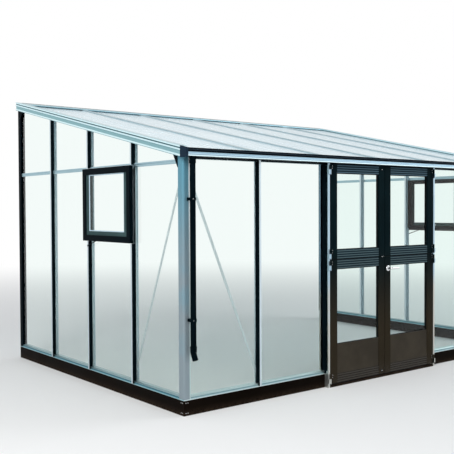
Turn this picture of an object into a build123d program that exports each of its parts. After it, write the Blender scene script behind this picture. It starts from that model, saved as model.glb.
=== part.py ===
from build123d import *
import math
import os

# Lean-to glass greenhouse with a double stable door, in millimetres.
# X runs along the front, -Y is the front, Z is up.
# The origin is on the ground, under the centre of the whole greenhouse.

# Overall layout
bay = 735
front_bays = 6
door_bays = 2
side_bays = 4
edge_margin = 10
depth = 2960
first_side_bar = 720
eave_height = 2010
roof_pitch = 12.2

# Plinth and sills
base_height = 115
base_depth = 50
base_wall = 3
sill_height = 30
sill_lip = 6
sill_setback = 4

# Posts
post_size = 62
post_radius = 20
post_wall = 3
wall_post_depth = 56
wall_post_width = 50
wall_hole = 9
wall_hole_low = 400
wall_hole_spacing = 1500

# Glazing bars and panes
glass_face = 14
glass = 4
pane_play = 5
bar_flange = 62
bar_flange_wall = 3
bar_web = 4
bar_depth = 56
bar_bulb = 20
bar_bulb_wall = 5
bar_boss = 6
nose_width = 20
nose_wall = 3
nose_stand = 10
strip_width = 12
strip_edge = 2
fin_reach = 12

# Eave, gutter and gable tops
head_drop = 95
beam_depth = 50
beam_wall = 6
gutter_reach = 80
gutter_drop = 82
gutter_depth = 38
gutter_wall = 3
gutter_groove = 14
groove = 2
trim_height = 25
trim_wall = 8
trim_groove = 8
end_plate = 20
end_plate_lap = 6
rake_height = 83
rake_lip = 13
rake_groove = 10
rake_recess = 6
rake_outside = 24
rake_inside = 36
rake_ledge = 14
rake_ledge_wall = 3

# Roof
sheet = 10
sheet_drop = 26
sheet_overhang = 20
sheet_end_gap = 12
roof_bar_cap = 60
roof_bar_cap_height = 10
roof_bar_chamfer = 5
roof_bar_depth = 30
roof_bar_foot = 30
plate_drop = 4
plate_lap = 60
plate_shelf = 45
plate_wall = 6
lip_play = 1

# Level rails in the gables
rail_drop = 130
rail_height = 32
rail_groove = 10
rail_inset = 8

# Vent windows
vent_bay = 1
vent_sill = 1288
vent_member = 32
vent_inside = 70
vent_outside = 8
vent_margin = 13
sash_sill_lap = 23
sash_head_lap = 15
sash_lap = 31
sash_member = 52
sash_stand = 40
sash_play = 0.3
stay_width = 10
stay_wall = 6
stay_run = 150
stay_drop = 52

# Doorway
casing = 20
casing_strip_stand = 20
door_stand = 44
threshold_height = 22
jamb_gap = 10
meeting_gap = 8
leaf_thickness = 38
leaf_bottom = 30
leaf_head_lap = 4
split_level = 1100
split_gap = 7
outer_stile = 80
inner_stile = 75
ribbed_rail = 80
top_rail = 75
panel_top = 365
rib_pitch = 10
rib_depth = 3
rail_setback = 3
panel_setback = 5
panel_thickness = 26
leaf_glass_depth = 18

# Hinges
hinge_radius = 7
hinge_pin = 3
pin_play = 0.3
hinge_stand = 10
hinge_height = 80
hinge_end_gap = 6
knuckle_gap = 0.5
flag_width = 30
flag_wall = 5

# Handle and latches
handle_level = 990
rose_radius = 26
rose_wall = 8
neck_radius = 8
neck_play = 0.5
handle_reach = 55
lever_length = 112
lever_height = 20
lever_wall = 16
latch_width = 14
latch_height = 30
latch_wall = 5

# Rainwater pipe, braces and brackets
pipe_radius = 22
pipe_wall = 3
pipe_inset = 58
pipe_out = 45
pipe_foot = 470
shoe_drop = 55
shoe_angle = 25
clip_low_rise = 235
clip_high_drop = 406
clip_height = 22
clip_wall = 4
clip_play = 0.3
brace_width = 22
brace_wall = 3
front_brace_drop = 125
side_brace_drop = 190
brace_foot_gap = 2
brace_foot_rise = 70
bracket_run = 60
bracket_drop = 90
bracket_wall = 5

# Worked-out places
half_width = front_bays * bay / 2 + edge_margin
front_reach = max(gutter_reach, door_stand + handle_reach)
front = (front_reach - depth) / 2
wall = front + depth
pitch = math.radians(roof_pitch)
slope = Vector(0, math.cos(pitch), math.sin(pitch))
sill_top = base_height + sill_height
head_level = eave_height - head_drop
rail_level = eave_height - rail_drop
gutter_floor = eave_height - gutter_drop
gutter_lip = gutter_floor + gutter_depth
glass_back = glass_face + glass
flange_back = glass_back + bar_flange_wall
strip_half = nose_width / 2 + strip_width
wing_bays = (front_bays - door_bays) // 2
door_post_place = door_bays * bay / 2
jamb_half = door_post_place - casing
roof_bar_places = [-half_width + edge_margin + n * bay for n in range(1, front_bays)]
front_bar_places = roof_bar_places[: wing_bays - 1]
side_bar_places = [front + first_side_bar + n * bay for n in range(side_bays - 1)]
leaf_outer = jamb_half - jamb_gap
leaf_inner = meeting_gap / 2
leaf_face = front - door_stand
leaf_back = leaf_face + leaf_thickness
leaf_top = head_level + leaf_head_lap
sash_low = vent_sill - sash_sill_lap
sash_high = rail_level + sash_head_lap
hinge_x = jamb_half - jamb_gap / 2
hinge_y = leaf_face - hinge_stand

os.makedirs("parts", exist_ok=True)


def roof_level(y):
    """Height of the roof line over a place on the Y axis."""
    return eave_height + (y - front) * math.tan(pitch)


def save(piece, name):
    """Name a finished piece and write it."""
    piece.part.label = name
    export_step(piece.part, f"parts/{name}.step")


def rake_plane(y, x=0):
    """Upright plane at a place on the slope: local X across the front, local Y up."""
    return Plane(origin=(x, y, roof_level(y)), x_dir=(1, 0, 0), z_dir=(0, -1, 0))


def up_the_slope(y_from, y_to):
    """Travel along the roof between two places on the Y axis."""
    return (y_to - y_from) / math.cos(pitch)


# Plinth: folded steel channel, open to the inside
def base_profile():
    """Channel outline from its outer face inwards, and up."""
    Polyline(
        (0, 0),
        (base_depth, 0),
        (base_depth, base_wall),
        (base_wall, base_wall),
        (base_wall, base_height - base_wall),
        (base_depth, base_height - base_wall),
        (base_depth, base_height),
        (0, base_height),
        close=True,
    )


corner_mitre = Plane(origin=(-half_width, front, 0), x_dir=(0, 0, 1), z_dir=(1, -1, 0))

with BuildPart() as base_front:
    with BuildSketch(Plane.YZ.offset(-half_width)):
        with BuildLine(Location((front, 0))):
            base_profile()
        make_face()
    extrude(amount=half_width - jamb_half - casing)
    split(bisect_by=corner_mitre, keep=Keep.TOP)
    mirror(about=Plane.YZ)
save(base_front, "base_front")

with BuildPart() as base_sides:
    with BuildSketch(Plane.XZ.offset(-front)):
        with BuildLine(Location((-half_width, 0))):
            base_profile()
        make_face()
    extrude(amount=-depth)
    split(bisect_by=corner_mitre, keep=Keep.BOTTOM)
    mirror(about=Plane.YZ)
save(base_sides, "base_sides")


# Sills: a thin lip right out to the face, and an upstand with a sloping shoulder
def sill_lip_profile():
    """Flat lip, from the outer face inwards."""
    with Locations((base_depth / 2, base_height + sill_lip / 2)):
        Rectangle(base_depth, sill_lip)


def sill_upstand_profile():
    """Upstand with a sloping shoulder under the glass."""
    Polyline(
        (sill_setback, base_height + sill_lip),
        (base_depth, base_height + sill_lip),
        (base_depth, sill_top),
        (glass_face, sill_top),
        (glass_face, sill_top - sill_setback),
        (sill_setback, sill_top - 2 * sill_setback),
        close=True,
    )


with BuildPart() as sill_front:
    with BuildSketch(Plane(origin=(-half_width, front, 0), x_dir=(0, 1, 0), z_dir=(1, 0, 0))):
        sill_lip_profile()
    extrude(amount=half_width - jamb_half - casing)
    split(bisect_by=corner_mitre, keep=Keep.TOP)
    with BuildSketch(Plane(origin=(-half_width + post_size, front, 0), x_dir=(0, 1, 0), z_dir=(1, 0, 0))):
        with BuildLine():
            sill_upstand_profile()
        make_face()
    extrude(amount=half_width - post_size - jamb_half - casing)
    mirror(about=Plane.YZ)
save(sill_front, "sill_front")

with BuildPart() as sill_sides:
    with BuildSketch(Plane(origin=(-half_width, front, 0), x_dir=(1, 0, 0), z_dir=(0, -1, 0))):
        sill_lip_profile()
    extrude(amount=-depth)
    split(bisect_by=corner_mitre, keep=Keep.BOTTOM)
    with BuildSketch(Plane(origin=(-half_width, front + post_size, 0), x_dir=(1, 0, 0), z_dir=(0, -1, 0))):
        with BuildLine():
            sill_upstand_profile()
        make_face()
    extrude(amount=-(depth - post_size - wall_post_depth))
    mirror(about=Plane.YZ)
save(sill_sides, "sill_sides")

# Corner posts: hollow, with a large outer radius and a fin behind each pane
post_foot = base_height + sill_lip
rake_underside = Plane(
    origin=(0, front, eave_height - rake_height),
    x_dir=(1, 0, 0),
    z_dir=(0, -math.sin(pitch), math.cos(pitch)),
)

with BuildPart() as corner_posts:
    with BuildSketch(Plane.XY.offset(post_foot)) as post_outline:
        with Locations((-half_width + post_size / 2, front + post_size / 2)):
            Rectangle(post_size, post_size)
        fillet(post_outline.vertices().group_by(Axis.X)[0].sort_by(Axis.Y)[0], post_radius)
        offset(amount=-post_wall, mode=Mode.SUBTRACT)
        with Locations((-half_width + post_size + fin_reach / 2, front + glass_back + bar_flange_wall / 2)):
            Rectangle(fin_reach, bar_flange_wall)
        with Locations((-half_width + glass_back + bar_flange_wall / 2, front + post_size + fin_reach / 2)):
            Rectangle(bar_flange_wall, fin_reach)
    extrude(amount=eave_height - post_foot)
    split(bisect_by=rake_underside, keep=Keep.BOTTOM)
    with Locations((-half_width + post_size + fin_reach / 2, front + post_size / 2, eave_height)):
        Box(fin_reach, post_size, 2 * (eave_height - head_level), mode=Mode.SUBTRACT)
    with Locations((-half_width + post_size + fin_reach / 2, front + post_size / 2, post_foot)):
        Box(fin_reach, post_size, 2 * (sill_top - post_foot), mode=Mode.SUBTRACT)
    with Locations((-half_width + post_size / 2, front + post_size + fin_reach / 2, post_foot)):
        Box(post_size, fin_reach, 2 * (sill_top - post_foot), mode=Mode.SUBTRACT)
    mirror(about=Plane.YZ)
save(corner_posts, "corner_posts")

# Wall posts: hollow, drilled for two fixings each into the house wall
wall_post_centre = half_width - wall_post_width / 2

with BuildPart() as wall_posts:
    with BuildSketch(Plane.XY.offset(post_foot)):
        with Locations((-wall_post_centre, wall - wall_post_depth / 2)):
            Rectangle(wall_post_width, wall_post_depth)
            Rectangle(
                wall_post_width - 2 * post_wall,
                wall_post_depth - 2 * post_wall,
                mode=Mode.SUBTRACT,
            )
        with Locations(
            (-half_width + glass_back + bar_flange_wall / 2, wall - wall_post_depth - fin_reach / 2)
        ):
            Rectangle(bar_flange_wall, fin_reach)
    extrude(amount=roof_level(wall) - post_foot)
    split(bisect_by=rake_underside, keep=Keep.BOTTOM)
    with Locations((-half_width + wall_post_width / 2, wall - wall_post_depth - fin_reach / 2, post_foot)):
        Box(wall_post_width, fin_reach, 2 * (sill_top - post_foot), mode=Mode.SUBTRACT)
    with Locations(Plane(origin=(-wall_post_centre, wall, wall_hole_low), x_dir=(1, 0, 0), z_dir=(0, 1, 0))):
        with Locations((0, 0), (0, -wall_hole_spacing)):
            Hole(radius=wall_hole / 2, depth=wall_post_depth)
    mirror(about=Plane.YZ)
save(wall_posts, "wall_posts")


# Glazing bars: nose outside, boss between the panes, flange behind them, web and bulb inside
def bar_profile():
    """Bar section with its outer face at local Y 0 and the inside of the house at +Y."""
    with Locations((0, glass_back + bar_flange_wall / 2)):
        Rectangle(bar_flange, bar_flange_wall)
    with Locations((0, (glass_back + bar_depth) / 2)):
        Rectangle(bar_web, bar_depth - glass_back)
    with Locations((0, glass_back / 2)):
        Rectangle(bar_boss, glass_back)
    with Locations((0, bar_depth - bar_bulb_wall / 2)):
        Rectangle(bar_bulb, bar_bulb_wall)


def nose_profile():
    """Stem and nose that stand out in front of the panes."""
    with Locations((0, -nose_stand / 2)):
        Rectangle(bar_boss, nose_stand)
    with Locations((0, nose_wall / 2 - nose_stand)):
        Rectangle(nose_width, nose_wall)


def nose_spans(bar_y):
    """Levels between which a gable bar has its nose; beside the vent it leaves room for the sash."""
    if bar_y in side_bar_places[vent_bay - 1 : vent_bay + 1]:
        return [(post_foot, sash_low - pane_play), (sash_high + pane_play, roof_level(bar_y))]
    return [(post_foot, roof_level(bar_y))]


def side_bar_plane(y, level):
    """Section plane of a bar in the left gable: local X along the wall, local Y inwards."""
    return Plane(origin=(-half_width, y, level), x_dir=(0, -1, 0), z_dir=(0, 0, 1))


with BuildPart() as front_bars:
    for bar_x in front_bar_places:
        with BuildSketch(Plane(origin=(bar_x, front, sill_top), z_dir=(0, 0, 1))):
            bar_profile()
        extrude(amount=head_level - sill_top)
        with BuildSketch(Plane(origin=(bar_x, front, post_foot), z_dir=(0, 0, 1))):
            nose_profile()
        extrude(amount=gutter_floor - post_foot)
    mirror(about=Plane.YZ)
save(front_bars, "front_bars")

with BuildPart() as side_bars:
    for bar_y in side_bar_places:
        with BuildSketch(side_bar_plane(bar_y, sill_top)):
            bar_profile()
        extrude(amount=roof_level(bar_y) - sill_top)
        for low, high in nose_spans(bar_y):
            with BuildSketch(side_bar_plane(bar_y, low)):
                nose_profile()
            extrude(amount=high - low)
    split(bisect_by=rake_underside, keep=Keep.BOTTOM)
    mirror(about=Plane.YZ)
save(side_bars, "side_bars")

# Door posts: a glazing bar with a casing that stands out to the face of the leaves
with BuildPart() as door_posts:
    with BuildSketch(Plane(origin=(-door_post_place, front, sill_top), z_dir=(0, 0, 1))):
        bar_profile()
    extrude(amount=head_level - sill_top)
    with BuildSketch(Plane(origin=(-jamb_half - casing / 2, front, 0), z_dir=(0, 0, 1))):
        with Locations((0, (flange_back - door_stand) / 2)):
            Rectangle(casing, flange_back + door_stand)
    extrude(amount=head_level)
    with BuildSketch(Plane(origin=(-jamb_half - casing / 2, front, head_level), z_dir=(0, 0, 1))):
        with Locations((0, -door_stand / 2)):
            Rectangle(casing, door_stand)
    extrude(amount=gutter_floor - head_level)
    mirror(about=Plane.YZ)
save(door_posts, "door_posts")


# Black wedge strips from the panes up to each nose
def strip_pair():
    """Strips on both sides of a nose."""
    with BuildSketch(mode=Mode.PRIVATE) as pair:
        with BuildLine():
            Polyline(
                (bar_boss / 2, glass_face),
                (strip_half, glass_face),
                (strip_half, glass_face - strip_edge),
                (nose_width / 2, -nose_stand),
                (nose_width / 2, nose_wall - nose_stand),
                (bar_boss / 2, nose_wall - nose_stand),
                close=True,
            )
        make_face()
        mirror(about=Plane.YZ)
    return pair.sketch


strip_section = strip_pair()

with BuildPart() as glazing_caps:
    for bar_y in side_bar_places:
        for low, high in nose_spans(bar_y):
            with BuildSketch(side_bar_plane(bar_y, low)):
                add(strip_section)
            extrude(amount=high - low)
    split(bisect_by=rake_underside, keep=Keep.BOTTOM)
    with Locations((-half_width + glass_face, (front + wall) / 2, post_foot)):
        Box(2 * glass_face, depth, 2 * (sill_top - post_foot), mode=Mode.SUBTRACT)
    for bar_x in front_bar_places:
        with BuildSketch(Plane(origin=(bar_x, front, post_foot), z_dir=(0, 0, 1))):
            add(strip_section)
        extrude(amount=gutter_floor - post_foot)
    with BuildSketch(Plane(origin=(-jamb_half - casing, front, post_foot), z_dir=(0, 0, 1))):
        with BuildLine():
            Polyline(
                (0, -casing_strip_stand),
                (-strip_width, glass_face - strip_edge),
                (-strip_width, glass_face),
                (-bar_boss / 2, glass_face),
                (-bar_boss / 2, 0),
                (0, 0),
                close=True,
            )
        make_face()
    extrude(amount=gutter_floor - post_foot)
    with Locations((-half_width / 2, front + glass_face, post_foot)):
        Box(half_width, 2 * glass_face, 2 * (sill_top - post_foot), mode=Mode.SUBTRACT)
    with Locations((-half_width / 2, front + glass_face, gutter_floor)):
        Box(half_width, 2 * glass_face, 2 * (gutter_floor - head_level), mode=Mode.SUBTRACT)
    mirror(about=Plane.YZ)
save(glazing_caps, "glazing_caps")

# Threshold between the casings
with BuildPart() as threshold:
    with BuildSketch(Plane.YZ.offset(-jamb_half)):
        with BuildLine(Location((front, 0))):
            Polyline(
                (-door_stand, 0),
                (base_depth, 0),
                (base_depth, threshold_height),
                (0, threshold_height),
                (-door_stand, threshold_height / 2),
                close=True,
            )
        make_face()
    extrude(amount=2 * jamb_half)
save(threshold, "threshold")

# Eave beam between the corner posts, its shelf sloping with the roof bars
sheet_underside = sheet_drop + sheet
bar_underside = sheet_underside + roof_bar_depth

with BuildPart() as eave_beam:
    with BuildSketch(Plane.YZ.offset(-half_width + post_size)):
        with BuildLine():
            Polyline(
                (front, head_level),
                (front + beam_depth, head_level),
                (front + beam_depth, roof_level(front + beam_depth) - bar_underside),
                (front + beam_wall, roof_level(front + beam_wall) - bar_underside),
                (front + beam_wall, roof_level(front + beam_wall) - sheet_underside),
                (front, roof_level(front) - sheet_underside),
                close=True,
            )
        make_face()
    extrude(amount=2 * (half_width - post_size))
save(eave_beam, "eave_beam")

# Gutter: a trough with two raised bands on its face
gutter_half = half_width + rake_outside - end_plate
gutter_face = front - gutter_reach
band = (gutter_lip - gutter_floor - gutter_groove) / 2

with BuildPart() as gutter:
    with BuildSketch(Plane.YZ.offset(-gutter_half)):
        with BuildLine():
            Polyline(
                (gutter_face, gutter_floor),
                (front, gutter_floor),
                (front, roof_level(front) - sheet_underside - gutter_wall),
                (front - gutter_wall, roof_level(front) - sheet_underside - gutter_wall),
                (front - gutter_wall, gutter_floor + gutter_wall),
                (gutter_face + 2 * gutter_wall, gutter_floor + gutter_wall),
                (gutter_face + 2 * gutter_wall, gutter_lip),
                (gutter_face, gutter_lip),
                (gutter_face, gutter_lip - band),
                (gutter_face + 2 * groove, gutter_lip - band - groove),
                (gutter_face + 2 * groove, gutter_floor + band + groove),
                (gutter_face, gutter_floor + band),
                close=True,
            )
        make_face()
    extrude(amount=2 * gutter_half)
    with Locations(
        (-half_width + pipe_inset, front - pipe_out, gutter_floor),
        (half_width - pipe_inset, front - pipe_out, gutter_floor),
    ):
        Cylinder(pipe_radius - pipe_wall, 4 * gutter_wall, mode=Mode.SUBTRACT)
save(gutter, "gutter")

# Black strip on the gutter's lip, with a groove along its face
trim_top = gutter_lip + trim_height
trim_middle = gutter_lip + trim_height / 2

with BuildPart() as eave_trim:
    with BuildSketch(Plane.YZ.offset(-gutter_half)):
        with BuildLine():
            Polyline(
                (gutter_face, gutter_lip),
                (gutter_face + trim_wall, gutter_lip),
                (gutter_face + trim_wall, trim_top),
                (gutter_face, trim_top),
                (gutter_face, trim_middle + trim_groove / 2),
                (gutter_face + groove, trim_middle),
                (gutter_face, trim_middle - trim_groove / 2),
                close=True,
            )
        make_face()
    extrude(amount=2 * gutter_half)
save(eave_trim, "eave_trim")

# Black plates that close the gutter's ends, their tops following the roof
with BuildPart() as gutter_ends:
    with BuildSketch(Plane.YZ.offset(-half_width - rake_outside)):
        with BuildLine():
            Polyline(
                (gutter_face, gutter_floor - end_plate_lap),
                (front, gutter_floor - end_plate_lap),
                (front, roof_level(front)),
                (gutter_face, trim_top),
                close=True,
            )
        make_face()
    extrude(amount=end_plate)
    mirror(about=Plane.YZ)
save(gutter_ends, "gutter_ends")

# Rake bars: two lips over a recessed field, ledge under the sheet
rake_field_x = -rake_outside + rake_recess

with BuildPart() as rake_bars:
    with BuildSketch(rake_plane(front, -half_width)):
        with BuildLine():
            Polyline(
                (-rake_outside, -rake_height),
                (rake_inside, -rake_height),
                (rake_inside, 0),
                (-rake_outside, 0),
                (-rake_outside, -rake_lip),
                (rake_field_x, -rake_lip),
                (rake_field_x, -rake_lip - rake_groove),
                (-rake_outside, -rake_lip - rake_groove),
                (-rake_outside, -2 * rake_lip - rake_groove),
                (rake_field_x, -2 * rake_lip - rake_groove - rake_recess),
                (rake_field_x, -rake_height + rake_lip + rake_recess),
                (-rake_outside, -rake_height + rake_lip),
                close=True,
            )
        make_face()
    extrude(dir=slope, amount=up_the_slope(front, wall))
    with BuildSketch(rake_plane(front, -half_width)):
        with Locations((rake_inside + rake_ledge / 2, -sheet_underside - rake_ledge_wall / 2)):
            Rectangle(rake_ledge, rake_ledge_wall)
    extrude(dir=slope, amount=up_the_slope(front, wall - plate_wall))
    mirror(about=Plane.YZ)
save(rake_bars, "rake_bars")

# Roof bars: cap over the sheets, web between them, foot inside
bar_start = front + beam_wall
bar_end = wall - plate_wall
roof_bar_ends = up_the_slope(bar_start, bar_end)

with BuildPart() as roof_bars:
    for bar_x in roof_bar_places:
        with BuildSketch(rake_plane(bar_start, bar_x)):
            with Locations((0, -sheet_underside - bar_flange_wall / 2)):
                Rectangle(roof_bar_cap, bar_flange_wall)
            with Locations((0, -(sheet_drop + bar_underside) / 2)):
                Rectangle(bar_web, bar_underside - sheet_drop)
            with Locations((0, -bar_underside + bar_bulb_wall / 2)):
                Rectangle(roof_bar_foot, bar_bulb_wall)
        extrude(dir=slope, amount=roof_bar_ends)
        with BuildSketch(rake_plane(front - sheet_overhang, bar_x)) as roof_cap:
            with Locations((0, -sheet_drop + roof_bar_cap_height / 2)):
                Rectangle(roof_bar_cap, roof_bar_cap_height)
            chamfer(roof_cap.vertices().group_by(Axis.Z)[-1], roof_bar_chamfer)
        extrude(dir=slope, amount=up_the_slope(front - sheet_overhang, bar_end))
save(roof_bars, "roof_bars")

# Roof sheets from rake to bar and from bar to bar
sheet_edges = [-half_width + rake_inside - pane_play]
sheet_edges += roof_bar_places
sheet_edges += [half_width - rake_inside + pane_play]

with BuildPart() as roof_sheets:
    for left, right in zip(sheet_edges[:-1], sheet_edges[1:]):
        with BuildSketch(rake_plane(front - sheet_overhang, (left + right) / 2)):
            with Locations((0, -sheet_drop - sheet / 2)):
                Rectangle(right - left - 2 * pane_play, sheet)
        extrude(dir=slope, amount=up_the_slope(front - sheet_overhang, wall - sheet_end_gap))
save(roof_sheets, "roof_sheets")

# Wall plate: shelf under the roof bars, flashing lip over the sheets
lip_start = wall - plate_lap


def above_cap(y, rise=0):
    """A point of the wall plate's section just over the roof bars' caps."""
    return (y, roof_level(y) - sheet_drop + roof_bar_cap_height + lip_play + rise)


with BuildPart() as wall_plate:
    with BuildSketch(Plane.YZ.offset(-half_width + rake_inside)):
        with BuildLine():
            Polyline(
                (wall, roof_level(wall) - rake_height),
                (wall, roof_level(wall) - plate_drop),
                (wall - plate_wall, roof_level(wall) - plate_drop),
                above_cap(lip_start, plate_wall),
                above_cap(lip_start),
                above_cap(wall - plate_wall),
                (wall - plate_wall, roof_level(wall - plate_wall) - bar_underside),
                (wall - plate_shelf, roof_level(wall - plate_shelf) - bar_underside),
                (wall - plate_shelf, roof_level(wall - plate_shelf) - bar_underside - plate_wall),
                (wall - plate_wall, roof_level(wall - plate_shelf) - bar_underside - plate_wall),
                (wall - plate_wall, roof_level(wall) - rake_height),
                close=True,
            )
        make_face()
    extrude(amount=2 * (half_width - rake_inside))
save(wall_plate, "wall_plate")

# Level rails in the gables, from strip to strip and from post to strip
side_stops = [front + post_size]
side_stops += side_bar_places
side_stops += [wall - wall_post_depth]


def side_span(n, play):
    """Ends of a gable bay's fittings that keep a distance from the bars' centres."""
    low = side_stops[n] + (play if n > 0 else 0)
    high = side_stops[n + 1] - (play if n < side_bays - 1 else 0)
    return low, high


with BuildPart() as side_rails:
    for n in range(side_bays):
        low, high = side_span(n, strip_half)
        with BuildSketch(Plane(origin=(-half_width, low, rail_level), x_dir=(1, 0, 0), z_dir=(0, -1, 0))):
            with BuildLine():
                Polyline(
                    (rail_inset, 0),
                    (glass_back, 0),
                    (glass_back, rail_height),
                    (rail_inset, rail_height),
                    (rail_inset, (rail_height + rail_groove) / 2),
                    (rail_inset + groove, rail_height / 2),
                    (rail_inset, (rail_height - rail_groove) / 2),
                    close=True,
                )
            make_face()
        extrude(amount=-(high - low))
    mirror(about=Plane.YZ)
save(side_rails, "side_rails")

# Gable panes: lower ones up to the rail, upper ones cut to the slope
with BuildPart() as side_glass_left:
    for n in range(side_bays):
        low, high = side_span(n, pane_play)
        pane_top = rail_level
        if n == vent_bay:
            pane_top = vent_sill
        with BuildSketch(Plane.YZ.offset(-half_width + glass_face)):
            with BuildLine():
                Polyline((low, sill_top), (high, sill_top), (high, pane_top), (low, pane_top), close=True)
            make_face()
            with BuildLine():
                Polyline(
                    (low, rail_level + rail_height),
                    (high, rail_level + rail_height),
                    (high, roof_level(high) - rake_height),
                    (low, roof_level(low) - rake_height),
                    close=True,
                )
            make_face()
        extrude(amount=glass)
save(side_glass_left, "side_glass_left")

with BuildPart() as side_glass_right:
    add(side_glass_left.part.mirror(Plane.YZ))
save(side_glass_right, "side_glass_right")

# Front panes, two each side of the doorway
front_stops = [-half_width + post_size - pane_play]
front_stops += front_bar_places
front_stops += [-door_post_place]

with BuildPart() as front_glass:
    for left, right in zip(front_stops[:-1], front_stops[1:]):
        with BuildSketch(Plane.XZ.offset(-front - glass_face)):
            with Locations(((left + right) / 2, (sill_top + head_level) / 2)):
                Rectangle(right - left - 2 * pane_play, head_level - sill_top)
        extrude(amount=-glass)
    mirror(about=Plane.YZ)
save(front_glass, "front_glass")

# Vent windows: fixed frame in the bay, sash on its face
vent_low_y, vent_high_y = side_span(vent_bay, 0)
vent_mid_y = (vent_low_y + vent_high_y) / 2
vent_half = (vent_high_y - vent_low_y) / 2


def vent_jamb_profile():
    """Jamb that grips the bar's flange, local X from the bay's centre, local Y inwards."""
    outer = vent_half - vent_margin
    inner = vent_half - bar_bulb / 2 - groove
    notch = vent_half - bar_flange / 2 - groove
    Polyline(
        (outer - vent_member, -vent_outside),
        (outer, -vent_outside),
        (outer, glass_back),
        (notch, glass_back),
        (notch, flange_back),
        (inner, flange_back),
        (inner, vent_inside),
        (outer - vent_member, vent_inside),
        close=True,
    )


with BuildPart() as vent_frames:
    with BuildSketch(Plane(origin=(-half_width, vent_mid_y, vent_sill), x_dir=(0, -1, 0), z_dir=(0, 0, 1))):
        with BuildLine():
            vent_jamb_profile()
        make_face()
        mirror(about=Plane.YZ)
    extrude(amount=rail_level - vent_sill)
    vent_clear = vent_half - vent_margin - vent_member
    with BuildSketch(Plane.XZ.offset(-(vent_mid_y - vent_clear + groove))):
        with Locations(
            (-half_width + (vent_inside - vent_outside) / 2, vent_sill + vent_member / 2),
            (-half_width + (vent_inside - vent_outside) / 2, rail_level - vent_member / 2),
        ):
            Rectangle(vent_inside + vent_outside, vent_member)
    extrude(amount=-2 * (vent_clear - groove))
    mirror(about=Plane.YZ)
save(vent_frames, "vent_frames")

sash_half = vent_half + sash_lap
sash_thickness = sash_stand - vent_outside - sash_play
sash_mid_x = -half_width - vent_outside - sash_play - sash_thickness / 2
sash_clear = sash_half - sash_member

with BuildPart() as vent_sashes:
    with Locations(
        (sash_mid_x, vent_mid_y - sash_half + sash_member / 2, (sash_low + sash_high) / 2),
        (sash_mid_x, vent_mid_y + sash_half - sash_member / 2, (sash_low + sash_high) / 2),
    ):
        Box(sash_thickness, sash_member, sash_high - sash_low)
    with Locations(
        (sash_mid_x, vent_mid_y, sash_low + sash_member / 2),
        (sash_mid_x, vent_mid_y, sash_high - sash_member / 2),
    ):
        Box(sash_thickness, 2 * (sash_clear - sash_play), sash_member)
    mirror(about=Plane.YZ)
save(vent_sashes, "vent_sashes")

with BuildPart() as vent_glass:
    with Locations((sash_mid_x, vent_mid_y, (sash_low + sash_high) / 2)):
        Box(glass, 2 * sash_clear, sash_high - sash_low - 2 * sash_member)
    mirror(about=Plane.YZ)
save(vent_glass, "vent_glass")

# Stay from the far bar's nose up to the sash's bottom rail
with BuildPart() as vent_stays:
    with BuildSketch(Plane.YZ.offset(-half_width - nose_stand - stay_wall)):
        with BuildLine():
            Polyline(
                (vent_high_y, sash_low - stay_drop),
                (vent_high_y, sash_low - stay_drop + stay_width),
                (vent_high_y - stay_run + stay_width, sash_low),
                (vent_high_y - stay_run - stay_width, sash_low),
                close=True,
            )
        make_face()
    extrude(amount=stay_wall)
    mirror(about=Plane.YZ)
save(vent_stays, "vent_stays")


# Wind braces: flat bars behind the panes, from post to bar foot
def brace_outline(start, end):
    """Outline of a flat bar between two points."""
    (x0, z0), (x1, z1) = start, end
    length = math.hypot(x1 - x0, z1 - z0)
    side = Vector(z0 - z1, x1 - x0) * (brace_width / 2 / length)
    Polyline(
        (x0 + side.X, z0 + side.Y),
        (x0 - side.X, z0 - side.Y),
        (x1 - side.X, z1 - side.Y),
        (x1 + side.X, z1 + side.Y),
        close=True,
    )


brace_start = post_size + brace_width / 2
front_brace_end = edge_margin + bay - bar_web / 2 - brace_foot_gap - brace_width / 2
side_brace_end = first_side_bar - bar_web / 2 - brace_foot_gap - brace_width / 2
brace_foot = sill_top + brace_foot_rise

with BuildPart() as wind_braces:
    with BuildSketch(Plane.XZ.offset(-front - flange_back)):
        with BuildLine():
            brace_outline(
                (-half_width + brace_start, head_level - front_brace_drop),
                (-half_width + front_brace_end, brace_foot),
            )
        make_face()
    extrude(amount=-brace_wall)
    with BuildSketch(Plane.YZ.offset(-half_width + flange_back)):
        with BuildLine():
            brace_outline(
                (front + brace_start, head_level - side_brace_drop),
                (front + side_brace_end, brace_foot),
            )
        make_face()
    extrude(amount=brace_wall)
    mirror(about=Plane.YZ)
save(wind_braces, "wind_braces")

# Triangular brackets under the rakes, at the corner posts and at the wall posts
with BuildPart() as corner_brackets:
    front_corner = front + post_size
    back_corner = wall - wall_post_depth
    with BuildSketch(Plane.YZ.offset(-half_width + groove - bracket_wall)):
        with BuildLine():
            Polyline(
                (front_corner, roof_level(front_corner) - rake_height),
                (front_corner, roof_level(front_corner) - rake_height - bracket_drop),
                (front_corner + bracket_run, roof_level(front_corner + bracket_run) - rake_height),
                close=True,
            )
        make_face()
        with BuildLine():
            Polyline(
                (back_corner, roof_level(back_corner) - rake_height),
                (back_corner, roof_level(back_corner) - rake_height - bracket_drop),
                (back_corner - bracket_run, roof_level(back_corner - bracket_run) - rake_height),
                close=True,
            )
        make_face()
    extrude(amount=bracket_wall)
    mirror(about=Plane.YZ)
save(corner_brackets, "corner_brackets")

# Rainwater pipes with an angled shoe
pipe_x = -half_width + pipe_inset
pipe_y = front - pipe_out

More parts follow.
